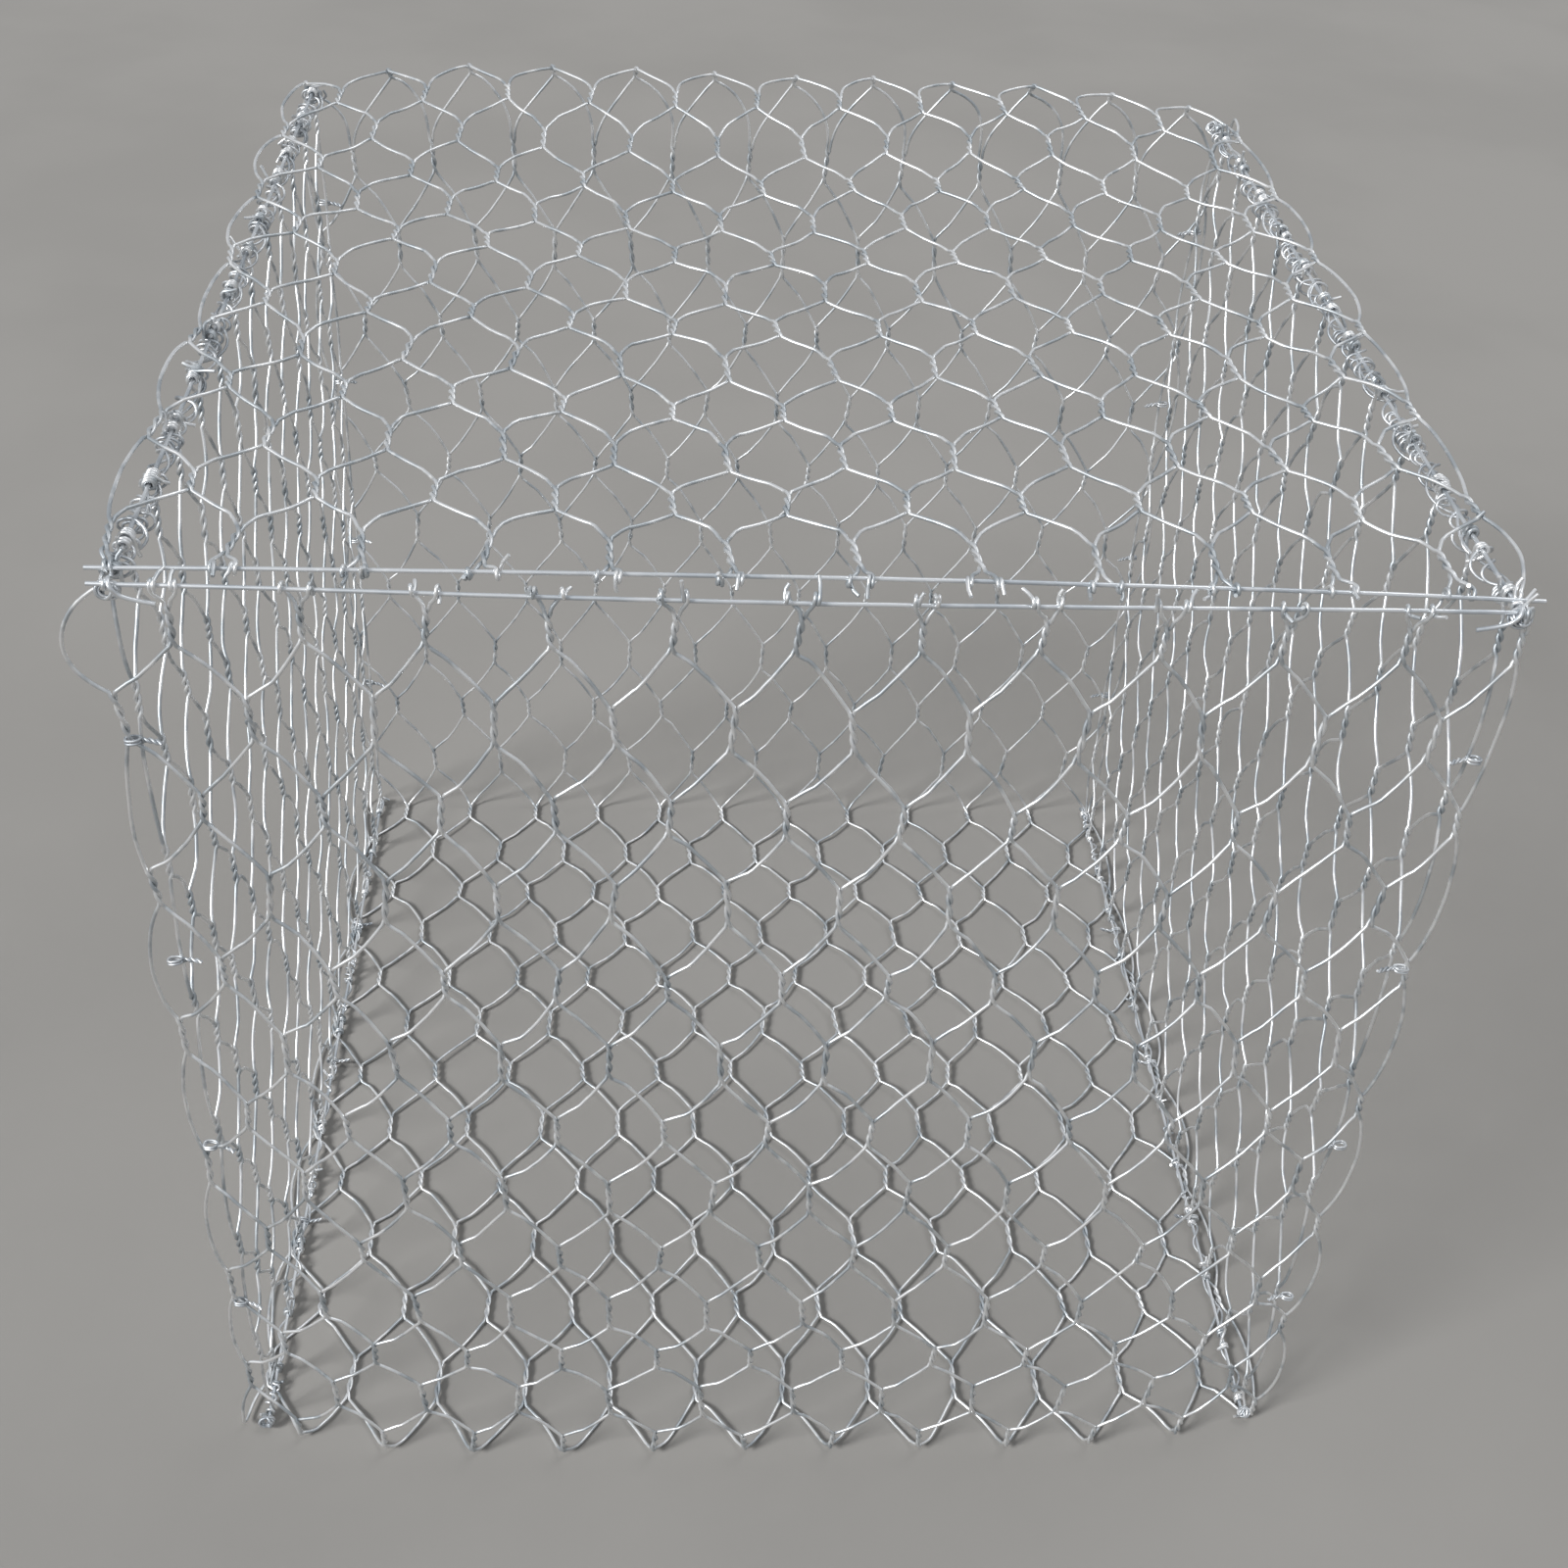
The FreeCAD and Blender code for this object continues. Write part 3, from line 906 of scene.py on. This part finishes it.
    def _kneed(self, start: np.ndarray, end: np.ndarray, to_left: bool, row: int) -> np.ndarray:
        """Two nearly straight stretches of wire with a rounded knee between them.

        Args:
            start: where the wire leaves a twist.
            end: where it comes to the next one.
            to_left: whether it runs to the left. Its knee is then nearer its end and low, else nearer its
                start and high.
            row: the row of the next twist. Wires of the lid have a high shoulder near their end.

        Returns:
            Places between the two.
        """
        if 0 <= self.crown_row < row:
            share = self.chance.uniform(0.72, 0.88)
            rise = -self.knee * self.chance.uniform(0.8, 1.5) * (1.0 if row % 2 else 0.45)
        elif to_left:
            share = self.chance.uniform(0.52, 0.68)
            rise = self.knee * self.chance.uniform(0.5, 1.3)
        else:
            share = self.chance.uniform(0.30, 0.46)
            rise = -self.knee * self.chance.uniform(0.1, 1.1)
        knee = start + share * (end - start) + np.array([0.0, rise, 0.0])
        steps = self.SPAN_STEPS[:, None]
        before = start + (knee - start) * steps / share
        after = knee + (end - knee) * (steps - share) / (1 - share)
        turned = np.clip((steps - share) / self.knee_width + 0.5, 0, 1)
        return before * (1 - turned) + after * turned

    def _arc(self, last: Twist, twist: Twist, to_left: bool, to_crown: bool) -> np.ndarray:
        """A wide arc of wire at the row that stands up at the lid's fold.

        Args:
            last: the twist that the wire leaves.
            twist: the twist that it runs to.
            to_left: whether it runs to the left.
            to_crown: whether it runs to the raised row, or else leaves it.

        Returns:
            Places between the two.
        """
        start, end = last.end(1), twist.end(-1)
        wide = np.array([-0.40, 0.13, 0.0] if to_left else [0.19, 0.17, 0.0])
        along = 0.34 if to_left else 0.22
        leave, arrive = (last.heading() * along, wide) if to_crown else (wide, twist.heading() * along)
        reach = self.chance.uniform(0.8, 1.25) * np.linalg.norm(end - start)
        return bezier(start, start + leave * reach, end - arrive * reach, end, self.SPAN_STEPS)

    def _edge_span(self, start: np.ndarray, end: np.ndarray, way: int, at_rim: bool) -> np.ndarray:
        """The lone wire at an edge, bowed outwards from one twist to the next but one row.

        Args:
            start: where it starts.
            end: where it ends.
            way: -1 at the left edge, 1 at the right one.
            at_rim: whether it is the large loop below the upper selvedge.

        Returns:
            Places between the two.
        """
        bow = self.rim_bow if at_rim else self.bow * self.chance.uniform(0.5, 1.35)
        lift = self.chance.uniform(-2, 2) * MM
        pull = np.array([way * bow * 1.3333, 0.26 * (end[1] - start[1]), lift])
        return bezier(start, start + pull, end + pull * (1, -1, -1), end, self.EDGE_STEPS)

    def _hook(self, selvedge: Selvedge, across: float, way: int) -> np.ndarray:
        """A cut wire end wound round the selvedge, seen from its tail to the netting.

        Args:
            selvedge: the wire that it holds.
            across: where along the selvedge it sits.
            way: -1 for the upper selvedge, 1 for the lower one.

        Returns:
            Places in the sheet's measures.
        """
        across = min(max(across, -self.farthest_hook), self.farthest_hook)
        turns = self.chance.uniform(*selvedge.turns)
        angle = np.linspace(turns * FULL_TURN, 0.0, max(6, int(turns * 11)))
        hand = self.chance.choice((-1, 1))
        reach = selvedge.reach * (1 + 0.5 * self.chance.random() * angle / (FULL_TURN * selvedge.turns[1]))
        side = self.chance.choice((-1, 1))
        places = np.column_stack(
            [
                across + hand * selvedge.pitch * angle / FULL_TURN,
                selvedge.along + way * reach * np.sin(angle),
                selvedge.inward + side * reach * np.cos(angle),
            ]
        )
        away = places[0] - places[1]
        away /= np.linalg.norm(away)
        length = self.chance.uniform(*selvedge.tail)
        stray = np.array([self.chance.uniform(-0.5, 0.5), self.chance.uniform(-0.2, 0.2), 0.0])
        tail = [places[0] + (away + stray * step) * length * step for step in (1.0, 0.55)]
        return np.vstack([tail, places])

    def _tie_in(self, hook: np.ndarray, end: np.ndarray, twist: Twist, way: int) -> np.ndarray:
        """A smooth line from a hook to the twist that its wire goes through.

        Args:
            hook: places of the hook.
            end: where the strand enters or leaves the twist.
            twist: the twist.
            way: -1 for a hook above the twist, 1 for one below it.

        Returns:
            Places from the hook to the twist.
        """
        start = hook[-1]
        gap = np.linalg.norm(end - start)
        first = start + np.array([0.0, -way * 0.45 * gap, 0.0])
        return bezier(start, first, end + way * twist.heading() * 0.35 * gap, end, self.TIE_IN_STEPS)

    def wires(self) -> list[np.ndarray]:
        """Trace every wire from the upper selvedge to the lower one.

        Returns:
            For each wire its points in the sheet's measures, each with how deep it lies in a twist.
        """
        columns = self.columns(0)
        lone = -1 if columns.start == 1 else self.half_cells + 1
        starts = [(column, moves_right) for column in columns for moves_right in (True, False)]
        return [self._trace(*start) for start in [*starts, (lone, lone < 0)]]

    def _trace(self, column: int, moves_right: bool) -> np.ndarray:
        """Follow one wire down through the rows.

        Args:
            column: its column in the first row. Outside the sheet it is a lone wire there.
            moves_right: whether it then goes to the right.

        Returns:
            Its points, each with how deep it lies in a twist.
        """
        trail = Trail()
        last, tip = None, None
        for row in range(self.last_row + 1):
            if 0 <= column <= self.half_cells:
                twist = self.twists[row][column]
                leg, depth = self._twist_leg(twist, moves_right)
                aside = self.hook_aside if moves_right else -self.hook_aside
                if row == 0:
                    hook = self._hook(self.top, twist.across - aside, -1)
                    trail.add(hook)
                    trail.add(self._tie_in(hook, leg[0], twist, -1))
                elif last:
                    trail.add(self._span(last, twist, tip, leg[0], row))
                trail.add(leg, depth)
                last, tip = twist, leg[-1]
                if row == self.last_row:
                    hook = self._hook(self.bottom, twist.across + aside, 1)
                    trail.add(self._tie_in(hook, tip, twist, 1)[::-1])
                    trail.add(hook[::-1])
            else:
                moves_right = column < 0
                self._go_round(trail, tip, row, moves_right)
                last = None
            column += 1 if moves_right else -1
        return np.vstack(trail.legs)

    def _go_round(self, trail: Trail, tip: np.ndarray | None, row: int, moves_right: bool) -> None:
        """Lead a lone wire round an edge of the sheet, from or to a hook in the first and last row.

        Args:
            trail: the wire so far.
            tip: where it left its last twist.
            row: the row in which it has no twist.
            moves_right: whether it comes back to the right, at the left edge.
        """
        way, inner = (-1, 0) if moves_right else (1, self.half_cells)
        upper_inside, lower_inside = self.lone_hooks_inside
        if row == self.last_row:
            hook = self._hook(self.bottom, self.column(inner) - way * lower_inside, 1)
            trail.add(self._edge_span(tip, hook[-1], way, False))
            trail.add(hook[::-1])
            return
        if row == 0:
            hook = self._hook(self.top, self.column(inner) - way * upper_inside, -1)
            trail.add(hook)
            tip = hook[-1]
        end = self._twist_leg(self.twists[row + 1][inner], moves_right)[0][0]
        trail.add(self._edge_span(tip, end, way, row == 0))

    def lines(self, wires: list[np.ndarray], low: float = -1.0, high: float = 99.0) -> list[Line]:
        """Cut the wires to a stretch of the sheet and place them.

        Args:
            wires: what wires() returned.
            low: where along the sheet the stretch starts.
            high: where it ends.

        Returns:
            The placed lines, one for each piece of wire.
        """
        made = []
        for wire in wires:
            inside = (wire[:, 1] >= low) & (wire[:, 1] <= high)
            places = self.surface.place(*wire[:, :3].T)
            places[:, 2] = np.maximum(places[:, 2], self.lowest)
            edges = np.flatnonzero(np.diff(np.concatenate([[0], inside, [0]])))
            for start, stop in zip(edges[::2], edges[1::2]):
                first = max(0, start - 1)
                if stop - first > 1:
                    made.append(Line(places[first:stop], wire[first:stop, 3]))
        return made


@dataclass
class Strip:
    """Front wall, base, back wall and lid: one strip of netting, cut only where its pieces part."""

    workshop: Workshop
    surface: FoldedStrip = field(default_factory=FoldedStrip)
    wire: float = 3.1 * MM
    before_hinge: float = 30 * MM
    past_hinge: float = 40 * MM
    blend_start: float = 7 * MM
    row_count: int = 48
    slide: float = 24 * MM
    stands: tuple[tuple[float, float], ...] = ((-3, 5), (2.5, 3.5), (0, 6), (5, 8))

    def row_places(self) -> list[float]:
        """Middles of the twist rows along the strip.

        Returns:
            Places of the 12 rows of the front and of the base, the 11 of the back and the 12 of the lid.
        """
        front_foot, back_foot, hinge = self.surface.folds
        marks = {
            0: 33 * MM,
            9: 765 * MM,
            12: front_foot - 16 * MM,
            24: back_foot - 17 * MM,
            35: hinge + 2 * MM,
            36: hinge + 72 * MM,
            47: self.surface.length - 38 * MM,
        }
        return np.interp(range(self.row_count), list(marks), list(marks.values())).tolist()

    def shift(self, across: float, along: float) -> float:
        """How far the twists have slid along the strip.

        Args:
            across: place across the strip.
            along: place along it.

        Returns:
            The way slid. Only the lid's rows sag forwards, left of the middle.
        """
        hinge = self.surface.folds[2]
        run = (along - hinge) / (self.surface.length - hinge)
        if not 0 < run < 1:
            return 0.0
        dip = math.exp(-(((across + 0.09) / 0.17) ** 2)) - 0.55 * math.exp(-(((across - 0.28) / 0.16) ** 2))
        return self.slide * dip * math.sin(math.pi * run) ** 0.8

    def bulge(self, across: float, along: float) -> float:
        """How far the sheet stands inwards (or outwards, below 0) from its flat place.

        Args:
            across: place across the strip.
            along: place along it.

        Returns:
            The wall's usual stand plus its unevenness, fading out towards its edges.
        """
        edges = [0.0, *self.surface.folds, self.surface.length]
        wall = sum(along >= fold for fold in self.surface.folds)
        run = (along - edges[wall]) / (edges[wall + 1] - edges[wall])
        fading = math.sin(math.pi * run) if 0 < run < 1 else 0.0
        soft = noise.noise(Vector((across * 2.3, along * 2.3, 5.0)))
        usual, uneven = self.stands[wall]
        return (usual + uneven * soft) * MM * fading * max(0.0, 1 - (across / HALF_WIDTH) ** 2)

    def build(self) -> None:
        """Weave the strip and hand over its pieces."""
        front_foot, back_foot, hinge = self.surface.folds
        netting = Netting(
            surface=self.surface,
            rows=self.row_places(),
            left=-0.504,
            right=0.503,
            bow=10 * MM,
            crown_row=35,
            top=Selvedge(0.0, -1.5 * MM, 3.4 * MM, (0.7, 1.3)),
            bottom=Selvedge(self.surface.length, -0.6 * MM, 3.4 * MM, (0.7, 1.3)),
            seed=11,
            bulge=self.bulge,
            shift=self.shift,
        )
        wires = netting.wires()
        hinge_low = hinge - self.before_hinge
        hinge_high = hinge + self.past_hinge
        stretches = {
            "front_netting": (-1.0, front_foot, Body.BASKET, "basket_mesh"),
            "base_netting": (front_foot, back_foot, Body.BASKET),
            "back_netting": (back_foot, hinge_low, Body.BASKET),
            "lid_netting": (hinge_high, 99.0, Body.LID, "lid_mesh"),
        }
        for name, (low, high, body, *nodes) in stretches.items():
            piece = self.workshop.draw(name, netting.lines(wires, low, high), Slot.MESH, self.wire)
            settle(piece, body, Slot.MESH, *nodes)
        crossing = netting.lines(wires, hinge_low, hinge_high)
        self._blend(self.workshop.draw("hinge_netting", crossing, Slot.MESH, self.wire))

    def _blend(self, hinge: bpy.types.Object) -> None:
        """Keep the wires that cross the fold as a plain mesh where they are, tied to neither body.

        Args:
            hinge: the wires that cross the fold.
        """
        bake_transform(hinge)
        LOG.info("%s: %d faces between basket and lid", hinge.name, len(hinge.data.polygons))


@dataclass
class EndWall:
    """One end wall's netting, with its wires wound round the selvedges at its top and bottom."""

    workshop: Workshop
    side: Side
    wire: float = 3.1 * MM
    rows: int = 13
    first_row: float = 33 * MM
    half_depth: float = 0.482

    def bulge(self, across: float, along: float) -> float:
        """How far the wall stands inwards from its flat place.

        Args:
            across: place from front to back.
            along: place down the wall.

        Returns:
            The wall's usual stand plus its unevenness, fading out towards its edges.
        """
        fading = math.sin(math.pi * min(1.0, max(0.0, along / 0.99)))
        soft = noise.noise(Vector((across * 2.1 + 4.0 * self.side.value, along * 2.1, 8.0)))
        return (3 + 7 * soft) * MM * fading * max(0.0, 1 - (across / 0.49) ** 2)

    def build(self) -> None:
        """Weave the wall and hand it over."""
        name = self.side.name.lower()
        height = RIM - FOOT
        step = (height - 2 * self.first_row) / (self.rows - 1)
        netting = Netting(
            surface=EndSheet(self.side),
            rows=[self.first_row + number * step for number in range(self.rows)],
            left=-self.half_depth,
            right=self.half_depth,
            bow=10 * MM,
            rim_bow=11 * MM,
            wander=3.6 * MM,
            sway=3.2 * MM,
            twist_lengths=(27 * MM, 33 * MM),
            top=Selvedge(0.0, -0.65 * MM, 3.9 * MM, (1.6, 2.6), 3.4 * MM, (8 * MM, 18 * MM)),
            bottom=Selvedge(height, -0.65 * MM, 3.3 * MM, (1.2, 2.2), 3.2 * MM, (4 * MM, 9 * MM)),
            seed=23 if self.side is Side.LEFT else 31,
            bulge=self.bulge,
            first_is_right=self.side is Side.LEFT,
        )
        lines = netting.lines(netting.wires())
        piece = self.workshop.draw(f"{name}_end_netting", lines, Slot.MESH, self.wire)
        settle(piece, Body.BASKET, Slot.MESH, f"{name}_end_mesh")


@dataclass
class Selvedges:
    """All six selvedge wires. The upper ones of the end walls hook round the front wall's."""

    workshop: Workshop
    diameter: float = 3.4 * MM
    waviness: float = 0.35 * MM
    sides: int = 12
    end_x: float = 0.49565
    front_y: float = -0.49865
    lid_y: float = -0.482
    lid_z: float = 1.0015

    # X, and millimetres that the wire has sagged or moved back there
    FRONT = ((-0.510, 0.0), (-0.4, -0.8), (-0.2, -3.4), (0.0, -4.4), (0.2, -2.6), (0.4, -0.2), (0.504, 0.0))
    LID = ((-0.514, -2.2), (-0.4, 0.5), (-0.2, 3.4), (0.0, 4.6), (0.2, 3.0), (0.4, -1.4), (0.516, -7.0))
    # Y, and millimetres towards the middle and upwards
    UPPER = (
        (0.4965, 0, 0), (0.25, 0, -1.2), (0.0, 0, -1.8), (-0.25, 0, -1.2), (-0.47, 0, 0), (-0.488, 0, -1),
        (-0.4985, 1, 4.2), (-0.5045, 3, 1.0), (-0.5040, 8, -5.5), (-0.5030, 18, -10), (-0.5025, 31, -13),
    )
    LOWER = ((0.4965, 0, 0), (0.2, 0, 0.6), (-0.2, 0, 0.4), (-0.4965, 0, 0))

    def build(self) -> None:
        """Draw the six wires."""
        front = [(x, self.front_y, RIM + sag * MM) for x, sag in self.FRONT]
        self._wire("front_selvedge_wire", "front_selvedge", Body.BASKET, front)
        lid = [(x, self.lid_y + back * MM, self.lid_z) for x, back in self.LID]
        self._wire("lid_selvedge_wire", "lid_selvedge", Body.LID, lid)
        for side in Side:
            for where, level, rows in (("top", RIM, self.UPPER), ("bottom", FOOT, self.LOWER)):
                x = side.value * self.end_x
                points = [(x - side.value * inside * MM, y, level + up * MM) for y, inside, up in rows]
                name = side.name.lower()
                node = f"{name}_end_{where}_selvedge"
                self._wire(f"{name}_{where}_selvedge_wire", node, Body.BASKET, points)

    def _wire(self, name: str, node: str, body: Body, points: list[Place]) -> None:
        """Draw one wire and hand it over.

        Args:
            name: the piece's name.
            node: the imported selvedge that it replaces.
            body: the body that it moves with.
            points: places that it runs through.
        """
        places = smooth_line(np.array(points), 10)
        line = Line(places, np.zeros(len(places)))
        piece = self.workshop.draw(name, [line], Slot.SELVEDGE, self.diameter, self.sides, self.waviness)
        settle(piece, body, Slot.SELVEDGE, node)


@dataclass
class Lacing:
    """Lacing wires that run in loose turns along the end walls' selvedges."""

    workshop: Workshop
    side: Side
    wire: float = 2.4 * MM
    waviness: float = 0.5 * MM
    middle_x: float = 0.4965
    front_end: float = -0.474
    back_end: float = 0.490
    strand_steps: int = 7
    knot_steps: int = 9

    def _strand(self, height: float, reach: float, pitch: float, seed: int) -> Line:
        """One lacing wire, wound in uneven turns from the front to the back.

        Args:
            height: level of the wire that it is wound round.
            reach: radius of a usual turn.
            pitch: usual way from turn to turn.
            seed: fixes the unevenness.

        Returns:
            The wire's middle line.
        """
        chance = random.Random(seed)
        places = []
        depth = self.front_end
        while depth < self.back_end:
            stride = pitch * chance.choice((0.25, 0.3, 1.0, 1.9)) * chance.uniform(0.8, 1.2)
            width = reach * chance.uniform(0.65, 1.2)
            for step in range(self.strand_steps):
                angle = FULL_TURN * step / self.strand_steps
                x = self.side.value * (self.middle_x + width * math.sin(angle))
                y = min(self.back_end + 5 * MM, depth + stride * step / self.strand_steps)
                places.append((x, y, height + 0.6 * width * math.cos(angle)))
            depth += stride
        line = smooth_line(np.array(places), 3)
        # The whole lacing gets a small twist depth, which the finish turns into painted shade.
        return Line(line, np.full(len(line), 0.15))

    def _knot(self, depth: float, height: float, reach: float, turns: int, seed: int) -> Line:
        """A knot of wire wound every way round a corner.

        Args:
            depth: Y of the knot's middle.
            height: Z of the knot's middle.
            reach: radius of a usual turn.
            turns: number of turns.
            seed: fixes the way it is wound.

        Returns:
            The wire's middle line.
        """
        chance = random.Random(seed)
        axis = Vector((0.2, 0.9, 0.3))
        places = []
        for _ in range(turns):
            axis = (axis + Vector([chance.uniform(-0.8, 0.8) for _ in range(3)])).normalized()
            first = axis.orthogonal().normalized()
            width = reach * chance.uniform(0.7, 1.15)
            for step in range(self.knot_steps):
                angle = FULL_TURN * step / self.knot_steps
                arm = (first * math.cos(angle) + axis.cross(first) * math.sin(angle)) * width
                x = self.side.value * self.middle_x + arm.x
                places.append((x, depth + 0.8 * arm.y, height + 0.8 * arm.z))
        line = smooth_line(np.array(places), 3)
        # The knot gets a twist depth, which the finish turns into painted shade in its windings.
        return Line(line, np.full(len(line), 0.25))

    def build(self) -> None:
        """Wind the top and the bottom lacing of one end wall."""
        seed = 50 + self.side.value
        top = [
            self._strand(0.9915, 8.5 * MM, 24 * MM, seed),
            self._strand(0.9905, 11.0 * MM, 44 * MM, seed + 4),
            self._strand(0.9930, 6.5 * MM, 64 * MM, seed + 12),
            self._knot(-0.4975, 0.9925, 8.0 * MM, 6, seed + 20),
            self._knot(0.4930, 0.9920, 8.0 * MM, 6, seed + 24),
        ]
        bottom = [
            self._strand(0.0085, 5.0 * MM, 42 * MM, seed + 8),
            self._knot(-0.4950, 0.0105, 7.0 * MM, 4, seed + 28),
        ]
        for where, strands in (("top", top), ("bottom", bottom)):
            name = f"{self.side.name.lower()}_{where}_lacing"
            piece = self.workshop.draw(name, strands, Slot.TIE, self.wire, wave=self.waviness)
            settle(piece, Body.BASKET, Slot.TIE)


@dataclass
class Ties:
    """Tie wires: two turns round a corner or an edge, and the ends twisted together."""

    workshop: Workshop
    wire: float = 2.2 * MM
    turns: int = 2
    steps: int = 14
    gap: float = 0.15
    squareness: float = 0.72
    tail: float = 15 * MM
    base_lift: float = 0.6 * MM
    corner_turn: Place = (0.10, 0.10, 0.12)
    base_turn: Place = (0.03, 0.06, 0.10)

    def _squared(self, wave: np.ndarray) -> np.ndarray:
        """A sine or cosine wave made squarer."""
        return np.sign(wave) * np.abs(wave) ** self.squareness

    def _loop(self, half_across: float, half_up: float, wound_about: int) -> Line:
        """Middle line of one tie about the origin.

        Args:
            half_across: half the loop's width.
            half_up: half the loop's other width.
            wound_about: the axis that the loop is wound about, 1 for Y and 2 for Z.

        Returns:
            The tie's line.
        """
        angle = np.linspace(self.gap, FULL_TURN * self.turns - self.gap, self.steps * self.turns)
        across = self._squared(np.cos(angle)) * half_across
        up = self._squared(np.sin(angle)) * half_up
        body = np.column_stack([across, up, (angle / FULL_TURN - self.turns / 2) * self.wire * 1.25])
        rise = 0.3 if wound_about == 1 else -0.35
        first, last = (self._tail(half_across, side, rise) for side in (0.0, math.pi))
        whole = np.vstack([first[::-1], body, last])
        if wound_about == 1:
            whole = whole[:, [0, 2, 1]]
        # The tie gets a twist depth, which the finish turns into painted shade in its turns.
        return Line(whole, np.full(len(whole), 0.2))

    def _tail(self, start: float, side: float, rise: float) -> np.ndarray:
        """One of the two ends that twist round each other and point outwards.

        Args:
            start: where it leaves the loop.
            side: angle at which it starts to twist.
            rise: share of its length by which it bends up.

        Returns:
            Its places, from the loop outwards.
        """
        share = np.linspace(0.12, 1.0, self.steps)
        angle = side + share * FULL_TURN * 1.5
        reach = self.wire * 0.56
        out = start + share * self.tail
        bent = rise * self.tail * share**2
        return np.column_stack([out, reach * np.cos(angle) + bent, reach * np.sin(angle)])

    def _levels(self, node: str, axis: int) -> list[float]:
        """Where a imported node's loops are.

        Args:
            node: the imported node.
            axis: the axis along which its loops follow each other.

        Returns:
            The middle of each loop along that axis.
        """
        values = sorted(vertex.co[axis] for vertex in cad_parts[node].data.vertices)
        groups: list[list[float]] = [[values[0]]]
        for value in values[1:]:
            if value - groups[-1][-1] > 20 * MM:
                groups.append([])
            groups[-1].append(value)
        return [(group[0] + group[-1]) / 2 for group in groups]

    def _group(self, node: str, side: Side, wound_about: int, turn: Place, seed: int) -> None:
        """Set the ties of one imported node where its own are.

        Args:
            node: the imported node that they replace.
            side: the side of the basket that they are on.
            wound_about: the axis that a loop is wound about, 1 for Y and 2 for Z.
            turn: largest turn about each axis, in radians.
            seed: fixes the turns.
        """
        low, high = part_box(node)
        widths = [(high[axis] - low[axis]) / 2 - self.wire / 2 for axis in (0, 3 - wound_about)]
        line = self._loop(*widths, wound_about)
        line.places[:, 0] *= -side.value
        pattern = self.workshop.draw("tie_pattern", [line], Slot.TIE, self.wire, wave=0.0)
        places = []
        for level in self._levels(node, wound_about):
            place = list((low + high) / 2)
            place[2] += self.base_lift
            place[wound_about] = level
            places.append(tuple(place))
        piece = self.workshop.strew(f"{node}_wire", pattern, places, Slot.TIE, turn, seed)
        bpy.data.objects.remove(pattern)
        settle(piece, Body.BASKET, Slot.TIE, node)

    def build(self) -> None:
        """Set the ties up the four corners and along both sides of the base."""
        seed = 5
        faces = (("front", 2, self.corner_turn), ("back", 2, self.corner_turn), ("base", 1, self.base_turn))
        for side in Side:
            for face, wound_about, turn in faces:
                self._group(f"{face}_{side.name.lower()}_ties", side, wound_about, turn, seed)
                seed += 1


@dataclass
class Studio:
    """Floor, lamps, world and camera."""

    floor_size: float = 30.0
    world_light: float = 0.22
    background: float = 0.92
    glossy_share: float = 0.45
    key_power: float = 3.1
    fill_power: float = 0.5
    aim: Place = (0.0, 0.0, 0.45)
    camera_place: Place = (-0.1285, -1.636, 1.732)
    azimuth: float = 5.2
    dip: float = 38.23
    roll: float = 4.0
    focal: float = 44.5
    sensor: float = 36.0

    def build(self) -> None:
        """Set up the studio."""
        self._floor()
        self._world()
        self._lamp("key", (-6.6, -4.4, 6.6), self.key_power, 17.0)
        self._lamp("fill", (3.5, 2.4, 8.4), self.fill_power, 30.0)
        self._camera()
        bpy.context.scene.view_settings.view_transform = "Standard"

    def _floor(self) -> None:
        """Lay the plain floor."""
        made = bmesh.new()
        bmesh.ops.create_grid(made, x_segments=4, y_segments=4, size=self.floor_size / 2)
        mesh = bpy.data.meshes.new("floor")
        made.to_mesh(mesh)
        made.free()
        mesh.materials.append(FloorFinish().material())
        stand("floor", mesh)

    def _world(self) -> None:
        """Soft light from all round, and a pale background for the camera and for reflections."""
        world = bpy.data.worlds.new("studio")
        bpy.context.scene.world = world
        world.use_nodes = True
        graph = Graph(world.node_tree)
        path = graph.node("ShaderNodeLightPath")
        seen = (path["Is Camera Ray"] + path["Is Glossy Ray"] * self.glossy_share).held()
        strength = self.world_light + seen * (self.background - self.world_light)
        light = graph.node("ShaderNodeBackground", {"Color": (0.93, 0.96, 1.0, 1.0), "Strength": strength})
        graph.node("ShaderNodeOutputWorld", {"Surface": light})

    def _lamp(self, name: str, place: Place, power: float, width: float) -> None:
        """Hang a far, soft lamp that looks at the middle of the basket.

        Args:
            name: the lamp's name.
            place: where it hangs.
            power: its strength.
            width: how wide it looks from the basket, in degrees.
        """
        lamp = bpy.data.lights.new(name, "SUN")
        lamp.energy = power
        lamp.angle = math.radians(width)
        made = stand(name, lamp)
        made.location = place
        made.rotation_euler = (Vector(self.aim) - Vector(place)).to_track_quat("-Z", "Y").to_euler()

    def _camera(self) -> None:
        """Place the camera at the photograph's angle."""
        azimuth, dip, roll = (math.radians(value) for value in (self.azimuth, self.dip, self.roll))
        level = math.cos(dip)
        forward = Vector((math.sin(azimuth) * level, math.cos(azimuth) * level, -math.sin(dip)))
        right = forward.cross(Vector((0, 0, 1))).normalized()
        up = right.cross(forward)
        turned_right = math.cos(roll) * right + math.sin(roll) * up
        turned_up = math.cos(roll) * up - math.sin(roll) * right
        columns = Matrix((turned_right, turned_up, -forward)).transposed()
        camera = bpy.data.cameras.new("camera")
        camera.lens = self.focal
        camera.sensor_width = self.sensor
        camera.clip_end = 100.0
        made = stand("camera", camera)
        made.matrix_world = Matrix.Translation(self.camera_place) @ columns.to_4x4()
        bpy.context.scene.camera = made


def main() -> None:
    """Build the studio, then the basket piece by piece."""
    logging.basicConfig(level=logging.INFO, format="%(message)s")
    Studio().build()
    workshop = Workshop()
    Strip(workshop).build()
    for side in Side:
        EndWall(workshop, side).build()
        Lacing(workshop, side).build()
    Selvedges(workshop).build()
    Ties(workshop).build()


if __name__ == "__main__":
    main()
